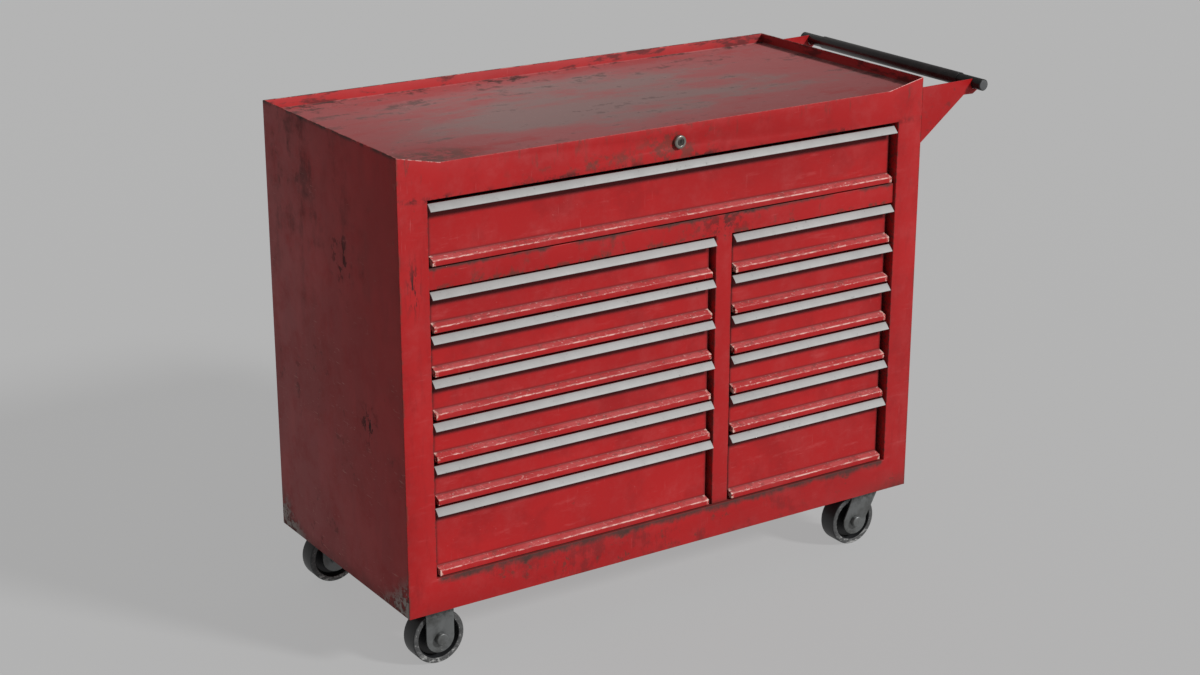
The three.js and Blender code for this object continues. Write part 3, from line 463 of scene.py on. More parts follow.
def drawer_marks(paint):
    rise = paint.attribute("rise")
    end = paint.attribute("half_width") - abs(paint.attribute("across"))
    y = paint.y - LEDGE_FACE
    rag = paint.noise(60.0, 5.0, 0.7)
    fine = paint.noise(190.0, 4.0, 0.75)
    wide = paint.noise(9.0, 4.0, 0.65)
    bits = paint.noise(1.0, 5.0, 0.75, paint.stretched(70.0, 320.0, 320.0))
    runs = paint.noise(1.0, 3.0, 0.6, paint.stretched(7.0, 7.0, 7.0))
    outside = paint.step(y, 0.016, 0.0145)
    face = paint.step(rise, 0.017, 0.021) * outside
    shelf = paint.step(rise, 0.0158, 0.0148) * paint.step(rise, 0.0098, 0.0108) * outside
    lip = paint.near(rise, LEDGE_EDGE - 0.0004, 0.0019) * paint.step(y, 0.0035, 0.0008)
    dense = paint.step(runs, 0.42, 0.62)
    pale = lip * (paint.step(bits + dense * 0.08, 0.53, 0.58) * 0.75 + dense * 0.2)
    specks = (shelf + lip).at_most(1.0) * paint.step(fine, 0.6, 0.65)
    crumbs = shelf * paint.step(rag, 0.54, 0.62)
    # The front's end faces are painted darker red: painted shade in the gap beside the frame.
    end_face_shade = paint.step(end, 0.0006, 0.0002)
    knocked = paint.step(end, 0.007, 0.001) * paint.step(rise, 0.0165, 0.0145) * outside * paint.step(
        fine * 0.6 + rag * 0.4, 0.49, 0.54)
    # A dark band in the crease where the ledge meets the face.
    dark_band = paint.near(rise, LEDGE_BACK + 0.001, 0.0042) * paint.step(y, 0.009, 0.0125) * outside
    # The face is painted darker near its ends, next to the frame posts: painted shade.
    face_end_shade = paint.step(end + rag * 0.006, 0.0085, 0.002) * paint.step(rise, 0.016, 0.02) * outside
    under = paint.step(rise + rag * 0.004, 0.0045, 0.001) * outside
    # A dark band of painted shadow on the face just below the pull.
    pull_shadow_painted = face * paint.step(paint.attribute("below_pull") + rag * 0.003, 0.0195, 0.0125)
    smear = face * paint.step(paint.noise(1.0, 5.0, 0.7, paint.stretched(14.0, 14.0, 70.0)), 0.56, 0.72)
    flecks = face * paint.step(fine, 0.66, 0.7) * paint.step(wide, 0.4, 0.6)
    return [
        (smear * 0.18, BLOOM, 0.5, 0.0),
        (face * paint.step(wide, 0.5, 0.66) * 0.35, DEEP_RED, 0.5, 0.0),
        (flecks * 0.5, BLOOM, 0.5, 0.1),
        (shelf * (0.3 + paint.step(wide, 0.35, 0.65) * 0.4), srgb(186, 92, 92), 0.55, 0.0),
        (crumbs * 0.5, srgb(112, 62, 58), 0.7, 0.2),
        (specks * 0.7, PALE_PINK, 0.6, 0.2),
        (dark_band * 0.5, NEAR_BLACK, 0.7, 0.0),
        (face_end_shade * 0.6, NEAR_BLACK, 0.7, 0.0),
        (under * 0.35, GRIME, 0.7, 0.0),
        (pull_shadow_painted * 0.72, srgb(48, 12, 14), 0.6, 0.0),
        (end_face_shade * 0.5, srgb(70, 20, 20), 0.6, 0.0),
        (pale * 0.8, srgb(228, 190, 180), 0.5, 0.4),
        (knocked * 0.65, CREAM, 0.5, 0.4),
    ]


# %% [markdown]
# Pieces with no marks of their own, such as the brackets and the underside, only gather dirt in general.

# %% Other enamelled pieces
def light_marks(paint):
    rag = paint.noise(42.0, 5.0, 0.7)
    return [
        (paint.step(rag, 0.58, 0.7) * 0.4, GRIME, 0.65, 0.2),
        (paint.step(paint.z - BOTTOM + rag * 0.04, 0.05, 0.02) * 0.6, GRIME, 0.75, 0.0),
    ]


front_enamel = enamel("front_enamel", front_marks)
side_enamel = enamel("side_enamel", side_marks, bloom=0.1)
tray_enamel = enamel("tray_enamel", tray_marks, bloom=0.1, chips=0.3)
rail_enamel = enamel("rail_enamel", rail_marks)
drawer_enamel = enamel("drawer_enamel", drawer_marks)
light_enamel = enamel("light_enamel", light_marks)

# %% [markdown]
# ## Metal, rubber and plastic
# The pulls are satin aluminium with drawing lines along their length and a dull film from hands. The
# other metals are made the same way in other tones. Bare metals need something to mirror, so they stay
# fairly rough and pick up the room.

# %% Aluminium and steel
def drawn_metal(name, bright, dull, metallic, roughness, lines, film):
    paint = Paint(name, Metallic=metallic)
    along = paint.noise(1.0, 3.0, 0.6, paint.stretched(*lines))
    cloud = paint.noise(24.0, 5.0, 0.7)
    spots = paint.step(paint.noise(130.0, 4.0, 0.7), 0.62, 0.72)
    colour = paint.mix(paint.step(cloud, 0.35, 0.7) * film, bright, dull)
    colour = paint.mix(spots * film * 0.8, colour, GRIME)
    paint.set("Base Color", colour)
    paint.set("Roughness", along * 0.14 + cloud * 0.14 + roughness + spots * 0.15)
    paint.set("Normal", paint.bump(along + cloud * 0.3, 0.12, 0.0003))
    return paint.material


pull_metal = drawn_metal("satin_pull_metal", srgb(160, 160, 159), srgb(142, 141, 140), 0.15, 0.52,
                         (3.0, 500.0, 500.0), 0.35)
zinc = drawn_metal("dull_zinc", srgb(150, 152, 154), srgb(112, 112, 110), 0.8, 0.35, (60.0, 60.0, 60.0), 0.7)
bolt_steel = drawn_metal("bolt_steel", srgb(132, 134, 134), srgb(80, 80, 78), 0.85, 0.35,
                         (90.0, 90.0, 90.0), 0.8)
lock_metal = drawn_metal("worn_lock_chrome", srgb(150, 147, 140), srgb(96, 92, 86), 0.85, 0.2,
                         (120.0, 120.0, 120.0), 0.7)
plug_metal = drawn_metal("dark_lock_plug", srgb(84, 80, 76), srgb(46, 42, 40), 0.8, 0.26,
                         (120.0, 120.0, 120.0), 0.7)

# %% [markdown]
# The caster steel is plated. It is dull with road dirt, darkened near the top with painted shade from the
# cabinet above it, and scraped pale low down, where it meets kerbs.

# %% Caster steel
def caster_finish():
    paint = Paint("grimy_caster_steel", Metallic=0.5)
    cloud = paint.noise(22.0, 5.0, 0.65)
    rag = paint.noise(120.0, 5.0, 0.7)
    worn = paint.step(rag, 0.6, 0.68) * paint.step(cloud, 0.42, 0.56)
    colour = paint.mix(paint.step(cloud, 0.4, 0.66) * 0.7, srgb(104, 106, 106), srgb(62, 62, 60))
    # Painted shade at the top of the fork, under the cabinet, broken up by noise.
    top_painted_shade = paint.step(rag, 0.46, 0.6) * paint.step(paint.z, 0.075, 0.105)
    colour = paint.mix(top_painted_shade * 0.6, colour, srgb(34, 33, 32))
    colour = paint.mix(worn * paint.step(paint.z, 0.07, 0.03) * 0.7, colour, srgb(156, 156, 154))
    paint.set("Base Color", colour)
    paint.set("Roughness", cloud * 0.25 + 0.3)
    paint.set("Normal", paint.bump(cloud + rag * 0.3, 0.2, 0.0005))
    return paint.material


caster_steel = caster_finish()

# %% [markdown]
# The handle's tube, its grip and its end plugs share one recipe: a dark body with a dusty film in clouds
# and specks.

# %% Rubber and plastic
def rubber(name, colour, dusty, dust, gloss):
    paint = Paint(name, Specular_IOR_Level=0.4)
    cloud = paint.noise(30.0, 5.0, 0.7)
    rag = paint.noise(110.0, 5.0, 0.75)
    shade = paint.mix(paint.step(cloud, 0.4, 0.75) * dust, colour, dusty)
    shade = paint.mix(paint.step(rag, 0.6, 0.68) * dust, shade, dusty)
    paint.set("Base Color", shade)
    paint.set("Roughness", cloud * 0.2 + gloss)
    paint.set("Normal", paint.bump(rag, 0.15, 0.0005))
    return paint.material


grip_rubber = rubber("grip_rubber", srgb(30, 28, 29), srgb(78, 70, 70), 0.35, 0.22)
tube_black = rubber("black_tube_finish", srgb(19, 20, 21), srgb(56, 55, 55), 0.3, 0.16)
plug_grey = rubber("grey_end_plug", srgb(80, 81, 83), srgb(58, 58, 58), 0.5, 0.34)

# %% [markdown]
# The wheels are nearly black on the tread, which the floor polishes. Their side rings, which nothing
# touches, have turned a dusty grey, scuffed lighter where the wheel has rubbed against kerbs. Each wheel
# carries the distance from its own middle plane, because that tells the ring from the tread on them all.

# %% Wheel rubber
def wheel_finish():
    paint = Paint("wheel_rubber", Specular_IOR_Level=0.45)
    across = abs(paint.attribute("across"))
    cloud = paint.noise(30.0, 5.0, 0.7)
    rag = paint.noise(150.0, 5.0, 0.75)
    streak = paint.noise(1.0, 4.0, 0.7, paint.stretched(60.0, 60.0, 150.0))
    ring = paint.step(across, 0.0176, 0.0188)
    hub = paint.step(across, 0.0192, 0.02)
    shade = paint.mix(paint.step(cloud, 0.45, 0.75) * 0.4, srgb(24, 25, 27), srgb(48, 48, 50))
    shade = paint.mix(ring * (paint.step(rag, 0.3, 0.62) * 0.5 + 0.35), shade, srgb(76, 76, 76))
    shade = paint.mix(ring * paint.step(rag, 0.58, 0.66) * 0.7, shade, srgb(160, 160, 158))
    shade = paint.mix(ring * paint.step(rag, 0.42, 0.34) * 0.7, shade, srgb(40, 40, 41))
    low = paint.step(paint.z, 0.03, 0.012) * paint.step(streak, 0.48, 0.58)
    shade = paint.mix(ring * low * 0.6, shade, srgb(186, 186, 184))
    shade = paint.mix(hub * 0.8, shade, srgb(44, 44, 45))
    paint.set("Base Color", shade)
    paint.set("Roughness", cloud * 0.2 + ring * 0.2 + 0.32)
    paint.set("Normal", paint.bump(rag, 0.15, 0.0005))
    return paint.material


wheel_rubber = wheel_finish()

# %% [markdown]
# ## Modelling helpers
# An operator acts on everything that is selected, so each step first selects only its own piece. Inside
# edit mode, faces and edges are picked by their place. `settle` gives a finished piece its material,
# its place in the frame's motion, and smooth shading that keeps real edges crisp.

# %% Selecting and settling
SMOOTH_ANGLE = math.radians(35)
CLOSE = 1e-5


def pick(*pieces):
    if bpy.context.mode != "OBJECT":
        bpy.ops.object.mode_set(mode="OBJECT")
    bpy.ops.object.select_all(action="DESELECT")
    for piece in pieces:
        piece.select_set(True)
    bpy.context.view_layer.objects.active = pieces[0]


def select_edges(piece, test):
    """Selects, in edit mode, the edges whose two ends pass the test."""
    bpy.ops.mesh.select_mode(type="EDGE")
    bpy.ops.mesh.select_all(action="DESELECT")
    bpy.ops.object.mode_set(mode="OBJECT")
    points = piece.data.vertices
    for edge in piece.data.edges:
        edge.select = test(points[edge.vertices[0]].co, points[edge.vertices[1]].co)
    bpy.ops.object.mode_set(mode="EDIT")


def select_faces(piece, test):
    """Selects, in edit mode, the faces whose middle and normal pass the test."""
    bpy.ops.mesh.select_mode(type="FACE")
    bpy.ops.mesh.select_all(action="DESELECT")
    bpy.ops.object.mode_set(mode="OBJECT")
    for face in piece.data.polygons:
        face.select = test(face.center, face.normal)
    bpy.ops.object.mode_set(mode="EDIT")


def apply_modifiers(piece):
    pick(piece)
    for modifier in list(piece.modifiers):
        bpy.ops.object.modifier_apply(modifier=modifier.name)


def bevel(piece, width, segments=2, angle=30):
    modifier = piece.modifiers.new("edges", "BEVEL")
    modifier.width = width
    modifier.segments = segments
    modifier.limit_method = "ANGLE"
    modifier.angle_limit = math.radians(angle)
    modifier.use_clamp_overlap = True
    apply_modifiers(piece)


def settle(piece, name, material, body, nodes=()):
    pick(piece)
    bpy.ops.object.transform_apply(location=True, rotation=True, scale=True)
    piece.name = name
    piece.data.name = name
    piece.data.materials.clear()
    piece.data.materials.append(material)
    bpy.ops.object.shade_smooth_by_angle(angle=SMOOTH_ANGLE)
    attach(piece, body)
    if nodes:
        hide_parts(*nodes)
    return piece


def copied(piece, offset=(0.0, 0.0, 0.0)):
    twin = piece.copy()
    twin.data = piece.data.copy()
    bpy.context.scene.collection.objects.link(twin)
    twin.parent = None
    twin.data.transform(Matrix.Translation(offset))
    return twin


# %% [markdown]
# ## Softened steel
# The shell's shapes are right already, but their edges are mathematically sharp, and a sharp edge never
# catches light. A copy of each is merged, its flat faces are made whole again, the folds that people
# touch are rounded to a bending radius, and every other edge gets a fine break.

# %% Softening a shape
def softened(node, material, width=0.4 * MM, folds=None, fold_radius=1.4 * MM):
    source = frame["nodes"][node]
    piece = bpy.data.objects.new(node + "_finished", source.data.copy())
    bpy.context.scene.collection.objects.link(piece)
    pick(piece)
    bpy.ops.object.mode_set(mode="EDIT")
    bpy.ops.mesh.select_all(action="SELECT")
    bpy.ops.mesh.remove_doubles(threshold=1e-6)
    bpy.ops.mesh.dissolve_limited(angle_limit=math.radians(0.5))
    if folds:
        select_edges(piece, folds)
        bpy.ops.mesh.bevel(offset=fold_radius, segments=4, affect="EDGES", clamp_overlap=True)
    bpy.ops.object.mode_set(mode="OBJECT")
    bevel(piece, width)
    settle(piece, node + "_finished", material, source["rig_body"], [node])
    print(node, "softened,", len(piece.data.polygons), "faces")
    return piece


def frame_folds(a, b):
    half_opening = (RIGHT - LEFT) / 2 - POST
    return all(p.y < FRONT + CLOSE and abs(p.x - MIDDLE) < half_opening + CLOSE and (
        BOTTOM + RAIL - CLOSE < p.z < OPENING_TOP + CLOSE) for p in (a, b))


def rail_folds(a, b):
    return a.y < RAILS_FACE + CLOSE and b.y < RAILS_FACE + CLOSE


softened("front_frame", front_enamel, folds=frame_folds)
softened("left_side_panel", side_enamel)
softened("right_side_panel", side_enamel)
softened("back_panel", side_enamel)
softened("base_panel", light_enamel)
softened("top_tray", tray_enamel)
softened("cross_rail_and_divider", rail_enamel, folds=rail_folds, fold_radius=1.0 * MM)

# %% [markdown]
# ## Drawers
# A drawer is a pan and a front. The front is one strip of sheet: a short flange at the top, the face, and
# a ledge that folds out and under itself. It is made as it is bent: a first leg, then an extrusion for
# each further leg, then a bevel that rounds all the bends at once, and only then a thickness.

# %% Bending a strip
def bent_strip(name, path, ends, thickness, radius, segments=4):
    (y0, z0), (y1, z1) = path[:2]
    bpy.ops.object.select_all(action="DESELECT")
    bpy.ops.mesh.primitive_plane_add(size=1, location=(sum(ends) / 2, (y0 + y1) / 2, (z0 + z1) / 2),
                                     rotation=(math.atan2(z1 - z0, y1 - y0), 0, 0))
    strip = bpy.context.object
    strip.name = name
    strip.scale = (ends[1] - ends[0], math.dist((y0, z0), (y1, z1)), 1)
    bpy.ops.object.transform_apply(location=True, rotation=True, scale=True)
    bpy.ops.object.mode_set(mode="EDIT")
    tip = (y1, z1)
    for corner in path[2:]:
        select_edges(strip, lambda a, b: all(math.dist((p.y, p.z), tip) < CLOSE for p in (a, b)))
        bpy.ops.mesh.extrude_region_move(
            TRANSFORM_OT_translate={"value": (0, corner[0] - tip[0], corner[1] - tip[1])})
        tip = corner
    if len(path) > 2:
        bends = path[1:-1]
        select_edges(strip, lambda a, b: any(
            all(math.dist((p.y, p.z), bend) < CLOSE for p in (a, b)) for bend in bends))
        bpy.ops.mesh.bevel(offset=radius, segments=segments, affect="EDGES", clamp_overlap=True)
    bpy.ops.object.mode_set(mode="OBJECT")
    wall = strip.modifiers.new("thickness", "SOLIDIFY")
    wall.thickness = abs(thickness)
    wall.offset = math.copysign(1, thickness)
    wall.use_even_offset = True
    apply_modifiers(strip)
    return strip


# %% [markdown]
# The pan is a block whose top face is removed and whose wall gets its thickness inwards. Its runners and
# its lock hook are welded on, so they are joined to it. The attributes that the drawer's material reads
# are written last. Each changes evenly from corner to corner, because a shader only knows the corners'
# values and blends between them.

# %% Building a drawer
FRONT_INSET = 8.5 * MM
FRONT_RECESS = 16.3 * MM
PULL_INSET = 4 * MM
SHEET = 1.0 * MM
SLIDE_SPACE = 12.7 * MM
BOX_RISE = 6 * MM
BOX_TOP_DROP = 16 * MM
BOX_BACK = BACK - 51.6 * MM
RUNNER_FRONT = 30 * MM
RUNNER_RISE = 30.5 * MM
RUNNER_HALF = 12 * MM
PAN_BEND = 1.8 * MM
FRONT_BEND = 1.3 * MM
FLANGE_DROP = 0.8 * MM
FLANGE_START = 9.1 * MM
LEDGE_RETURN = 11 * MM
TAB_LEAN = 2.8 * MM
HOOK_HALF_WIDTH = 10 * MM
HOOK_RISE = 18 * MM
HOOK_HEIGHT = 13.5 * MM


def block(low, high, name):
    bpy.ops.object.select_all(action="DESELECT")
    bpy.ops.mesh.primitive_cube_add(size=1, location=[(a + b) / 2 for a, b in zip(low, high)])
    piece = bpy.context.object
    piece.name = name
    piece.scale = [b - a for a, b in zip(low, high)]
    bpy.ops.object.transform_apply(location=True, rotation=True, scale=True)
    return piece


def drawer_pan(low, high):
    pan = block(low, high, "pan")
    bpy.ops.object.mode_set(mode="EDIT")
    select_edges(pan, lambda a, b: abs(a.z - b.z) > 0.01 or (a.z < low[2] + CLOSE and b.z < low[2] + CLOSE))
    bpy.ops.mesh.bevel(offset=PAN_BEND, segments=3, affect="EDGES")
    select_faces(pan, lambda centre, normal: normal.z > 0.99 and centre.z > high[2] - CLOSE)
    bpy.ops.mesh.delete(type="FACE")
    bpy.ops.object.mode_set(mode="OBJECT")
    wall = pan.modifiers.new("thickness", "SOLIDIFY")
    wall.thickness = SHEET
    wall.offset = -1
    wall.use_even_offset = True
    apply_modifiers(pan)
    return pan


def drawer_runner(low, high):
    runner = block(low, high, "runner")
    bpy.ops.object.mode_set(mode="EDIT")
    select_faces(runner, lambda centre, normal: abs(normal.x) > 0.99)
    bpy.ops.mesh.inset(thickness=3 * MM, depth=-2 * MM, use_individual=True)
    bpy.ops.object.mode_set(mode="OBJECT")
    bevel(runner, 0.5 * MM)
    return runner


def write_attribute(piece, name, of_point):
    values = piece.data.attributes.new(name, "FLOAT", "POINT").data
    for index, vertex in enumerate(piece.data.vertices):
        values[index].value = of_point(vertex.co)


def ledge_tab(right, bottom):
    """Closes one end of the ledge: a block, two of whose edges are pulled to the fold's slope."""
    inset = 0.3 * MM
    low = (right - SHEET + inset, LEDGE_FACE + SHEET / 2, bottom + SHEET / 2)
    high = (right - inset, FRONT + FRONT_RECESS + SHEET / 2, bottom + LEDGE_BACK - SHEET / 2)
    tab = block(low, high, "tab")
    bpy.ops.object.mode_set(mode="EDIT")
    select_edges(tab, lambda a, b: all(p.y < low[1] + CLOSE and p.z > high[2] - CLOSE for p in (a, b)))
    bpy.ops.transform.translate(value=(0, 0, LEDGE_EDGE - LEDGE_BACK))
    select_edges(tab, lambda a, b: all(p.y > high[1] - CLOSE and p.z < low[2] + CLOSE for p in (a, b)))
    bpy.ops.transform.translate(value=(0, -TAB_LEAN, 0))
    bpy.ops.object.mode_set(mode="OBJECT")
    return tab


def build_drawer(name):
    pull_low, pull_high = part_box(name + "_pull")
    low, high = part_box(name + "_drawer")
    left, right = pull_low[0] - PULL_INSET, pull_high[0] + PULL_INSET
    bottom, height = low[2], pull_high[2] - low[2]
    ends = (left + FRONT_INSET, right - FRONT_INSET)
    face = FRONT + FRONT_RECESS
    flange = bottom + height - FLANGE_DROP
    path = [(FRONT + FLANGE_START, flange), (face, flange), (face, bottom + LEDGE_BACK),
            (LEDGE_FACE, bottom + LEDGE_EDGE), (LEDGE_FACE, bottom), (LEDGE_FACE + LEDGE_RETURN, bottom)]
    front = bent_strip("front", path, ends, SHEET, FRONT_BEND)
    pan_left, pan_right = left + SLIDE_SPACE, right - SLIDE_SPACE
    pan_top = bottom + height - BOX_TOP_DROP
    pan = drawer_pan((pan_left, face + SHEET, bottom + BOX_RISE), (pan_right, BOX_BACK, pan_top))
    runner_z = (bottom + RUNNER_RISE - RUNNER_HALF, bottom + RUNNER_RISE + RUNNER_HALF)
    runners = [drawer_runner((x0, FRONT + RUNNER_FRONT, runner_z[0]), (x1, BOX_BACK, runner_z[1]))
               for x0, x1 in ((low[0], pan_left), (pan_right, high[0]))]
    hook_x = HOOK_LEFT if left < DIVIDER else HOOK_RIGHT
    tongue = bottom + BOX_RISE + HOOK_RISE
    hook = bent_strip("hook", [(BOX_BACK, tongue), (high[1], tongue), (high[1], tongue + HOOK_HEIGHT)],
                      (hook_x - HOOK_HALF_WIDTH, hook_x + HOOK_HALF_WIDTH), 1.5 * MM, 1.0 * MM)
    tabs = [ledge_tab(x, bottom) for x in (ends[0] + SHEET, ends[1])]
    pick(front, pan, *runners, hook, *tabs)
    bpy.ops.object.join()
    whole = bpy.context.object
    bevel(whole, 0.25 * MM, 1, 50)
    write_attribute(whole, "rise", lambda point: point.z - bottom)
    write_attribute(whole, "across", lambda point: point.x - sum(ends) / 2)
    write_attribute(whole, "half_width", lambda point: (ends[1] - ends[0]) / 2)
    write_attribute(whole, "below_pull", lambda point: pull_low[2] - point.z)
    return whole


divider_low, divider_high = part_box("centre_partition")
DIVIDER = (divider_low[0] + divider_high[0]) / 2
HOOK_LEFT, HOOK_RIGHT = DIVIDER - 44.1 * MM, DIVIDER + 44.1 * MM


# %% [markdown]
# ## Pulls
# The pull is a thin plate that slopes out over the finger space, very slightly bulged, with a tongue that
# runs in under the front's flange. Two legs and one wide bend between them give the bulge. The heel, the
# bend and the lip are each stated as how far behind the cabinet's face they are and how far below the top.

# %% Building a pull
PULL_HEEL = (8.8 * MM, 0.2 * MM)
PULL_BEND = (2.9 * MM, 5.6 * MM)
PULL_LIP = (-2.3 * MM, 11.5 * MM)
PULL_SHEET = 1.5 * MM
PULL_BEND_RADIUS = 2.6 * MM
TONGUE_START, TONGUE_END = 8.2 * MM, 14 * MM
TONGUE_DROP = 2.1 * MM
TONGUE_INSET = 6 * MM


def build_pull(name):
    low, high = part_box(name + "_pull")
    top = high[2]
    outer = [(FRONT + back, top - drop) for back, drop in (PULL_HEEL, PULL_BEND, PULL_LIP)]
    plate = bent_strip("plate", outer, (low[0], high[0]), -PULL_SHEET, PULL_BEND_RADIUS, 3)
    tongue_z = top - TONGUE_DROP
    tongue = bent_strip("tongue", [(FRONT + TONGUE_START, tongue_z), (FRONT + TONGUE_END, tongue_z)],
                        (low[0] + TONGUE_INSET, high[0] - TONGUE_INSET), -SHEET, 0)
    pick(plate, tongue)
    bpy.ops.object.join()
    whole = bpy.context.object
    bevel(whole, 0.3 * MM, 2, 40)
    return whole


# %% [markdown]
# Five drawers differ, and the others repeat the small ones down each column. The top one of a column is
# modelled and copied, each copy with a mesh of its own.

# %% All drawers and pulls
def settle_drawer(piece, name):
    settle(piece, name + "_drawer_folded", drawer_enamel, name + "_drawer", [name + "_drawer"])


def settle_pull(piece, name):
    settle(piece, name + "_pull_strip", pull_metal, name + "_drawer", [name + "_pull"])


for name in ("wide", "left_deep", "right_deep"):
    settle_drawer(build_drawer(name), name)
    settle_pull(build_pull(name), name)
for side in ("left", "right"):
    first = side + "_1"
    first_drawer, first_pull = build_drawer(first), build_pull(first)
    for row in (2, 3, 4, 5):
        name = f"{side}_{row}"
        drop = (0, 0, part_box(name + "_drawer")[0][2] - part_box(first + "_drawer")[0][2])
        settle_drawer(copied(first_drawer, drop), name)
        settle_pull(copied(first_pull, drop), name)
    settle_drawer(first_drawer, first)
    settle_pull(first_pull, first)
print("drawers done")

# %% [markdown]
# ## Lock, handle and casters
# The lock's face, the brackets, the tube and the forks have the right shapes, so softened copies do. The
# steel racks and the lock bar inside keep their shapes and only get their zinc.

# %% Softened fittings
softened("lock_cylinder", lock_metal, 0.5 * MM)
softened("lock_plug", plug_metal, 0.25 * MM)
for end in ("front", "rear"):
    softened(end + "_handle_bracket", light_enamel)
    softened(end + "_end_plug", plug_grey, 0.4 * MM)
softened("handle_tube", tube_black, 0.3 * MM)
softened("handle_grip", grip_rubber, 0.5 * MM)
CASTERS = ("front_left", "rear_left", "front_right", "rear_right")
for caster in CASTERS:
    softened(caster + "_fork", caster_steel, 0.6 * MM)
    softened(caster + "_axle_bolt", caster_steel, 0.5 * MM)
for caster in CASTERS[2:]:
    softened(caster + "_swivel_plate", zinc, 0.5 * MM)

for node in ("centre_partition", "left_slide_rack", "right_slide_rack", "lock_rod", "lock_bar"):
    plain = frame["nodes"][node]
    plain.data.materials.clear()
    plain.data.materials.append(zinc)

# %% [markdown]
# ## Wheels
# The wheel is hard rubber, turned in one: a flat tread with rounded shoulders, a side ring, a deep dish
# and a hub. A cylinder takes that shape from a row of insets, each with a depth, on both sides at once,
# and the shoulders are then bevelled.

# %% Turning a wheel
WHEEL_WIDTH = 38.1 * MM
WHEEL_BORE = 4.3 * MM
RING = 9.8 * MM
DISH_WALL_RUN = 4 * MM
DISH_DEPTH = 12.5 * MM
DISH_FALL = 1.5 * MM
HUB_RADIUS = 14 * MM
HUB_WALL_RUN = 2 * MM
HUB_HEIGHT = 15.9 * MM
SHOULDER_ROUND = 3.2 * MM


def build_wheel(centre, radius, width, bore):
    bpy.ops.object.select_all(action="DESELECT")
    bpy.ops.mesh.primitive_cylinder_add(vertices=96, radius=radius, depth=width, end_fill_type="NGON",
                                        location=centre, rotation=(math.pi / 2, 0, 0))
    wheel = bpy.context.object
    bpy.ops.object.transform_apply(location=True, rotation=True, scale=True)
    bpy.ops.object.mode_set(mode="EDIT")
    select_faces(wheel, lambda middle, normal: abs(normal.y) > 0.99)
    dish = radius - RING
    dish_floor = dish - DISH_WALL_RUN - HUB_RADIUS - HUB_WALL_RUN
    bpy.ops.mesh.inset(thickness=RING, use_individual=True)
    bpy.ops.mesh.inset(thickness=DISH_WALL_RUN, depth=-DISH_DEPTH, use_individual=True)
    bpy.ops.mesh.inset(thickness=dish_floor, depth=-DISH_FALL, use_individual=True)
    bpy.ops.mesh.inset(thickness=HUB_WALL_RUN, depth=HUB_HEIGHT, use_individual=True)
    bpy.ops.mesh.inset(thickness=HUB_RADIUS - bore, use_individual=True)
    bpy.ops.mesh.delete(type="FACE")

    def on_bore(a, b):
        return all(math.dist((p.x, p.z), (centre[0], centre[2])) < bore + 1e-4 for p in (a, b))
    select_edges(wheel, on_bore)
    bpy.ops.mesh.bridge_edge_loops()

    def off_axis(point):
        return math.dist((point.x, point.z), (centre[0], centre[2]))
    select_edges(wheel, lambda a, b: abs(a.y - b.y) < CLOSE and off_axis(a) > radius - 1e-4 and (
        off_axis(b) > radius - 1e-4))
    bpy.ops.mesh.bevel(offset=SHOULDER_ROUND, segments=5, affect="EDGES")
    select_edges(wheel, lambda a, b: abs(a.y - b.y) < CLOSE and all(
        abs(off_axis(p) - dish) < 2e-4 for p in (a, b)))
    bpy.ops.mesh.bevel(offset=1.0 * MM, segments=3, affect="EDGES")
    bpy.ops.object.mode_set(mode="OBJECT")
    write_attribute(wheel, "across", lambda point: point.y - centre[1])
    return wheel


wheel_boxes = {caster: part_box(caster + "_wheel") for caster in CASTERS}
first_low, first_high = wheel_boxes[CASTERS[0]]
first_centre = [(a + b) / 2 for a, b in zip(first_low, first_high)]
wheel_radius = (first_high[2] - first_low[2]) / 2
wheel_master = build_wheel(first_centre, wheel_radius, WHEEL_WIDTH, WHEEL_BORE)
for caster in CASTERS[1:]:
    low, high = wheel_boxes[caster]
    offset = [(a + b) / 2 - c for a, b, c in zip(low, high, first_centre)]
    settle(copied(wheel_master, offset), caster + "_wheel_turned", wheel_rubber, caster + "_wheel",
           [caster + "_wheel"])
settle(wheel_master, CASTERS[0] + "_wheel_turned", wheel_rubber, CASTERS[0] + "_wheel",
       [CASTERS[0] + "_wheel"])
print("wheels done")

# %% [markdown]
# ## Bolts
# Each caster plate is held by four hexagon bolts, and each handle bracket by two domed ones. One of each
# kind is modelled and copied. A hexagon head is a six-sided cylinder whose outer corners are turned off
# by a bevel, on a round washer; a domed head is a short cylinder whose top edge is rounded over.

# %% Bolt heads
def hexagon_bolt(radius, height):
    bpy.ops.object.select_all(action="DESELECT")
    bpy.ops.mesh.primitive_cylinder_add(vertices=6, radius=radius, depth=height, location=(0, 0, -height / 2))
    head = bpy.context.object
    bevel(head, 0.7 * MM, 2)
    bpy.ops.object.select_all(action="DESELECT")
    bpy.ops.mesh.primitive_cylinder_add(vertices=32, radius=radius * 1.2, depth=1.2 * MM,
                                        location=(0, 0, -0.6 * MM))
    washer = bpy.context.object
    bevel(washer, 0.3 * MM, 2)
    pick(head, washer)
    bpy.ops.object.join()
    bpy.ops.object.transform_apply(location=True, rotation=True, scale=True)
    return head


def domed_bolt(radius, height):
    bpy.ops.object.select_all(action="DESELECT")
    bpy.ops.mesh.primitive_cylinder_add(vertices=32, radius=radius, depth=height, location=(height / 2, 0, 0),
                                        rotation=(0, math.pi / 2, 0))
    head = bpy.context.object
    bpy.ops.object.transform_apply(location=True, rotation=True, scale=True)
    bpy.ops.object.mode_set(mode="EDIT")
    select_edges(head, lambda a, b: a.x > height - CLOSE and b.x > height - CLOSE)
    bpy.ops.mesh.bevel(offset=height * 0.85, segments=5, affect="EDGES")
    bpy.ops.object.mode_set(mode="OBJECT")
    return head


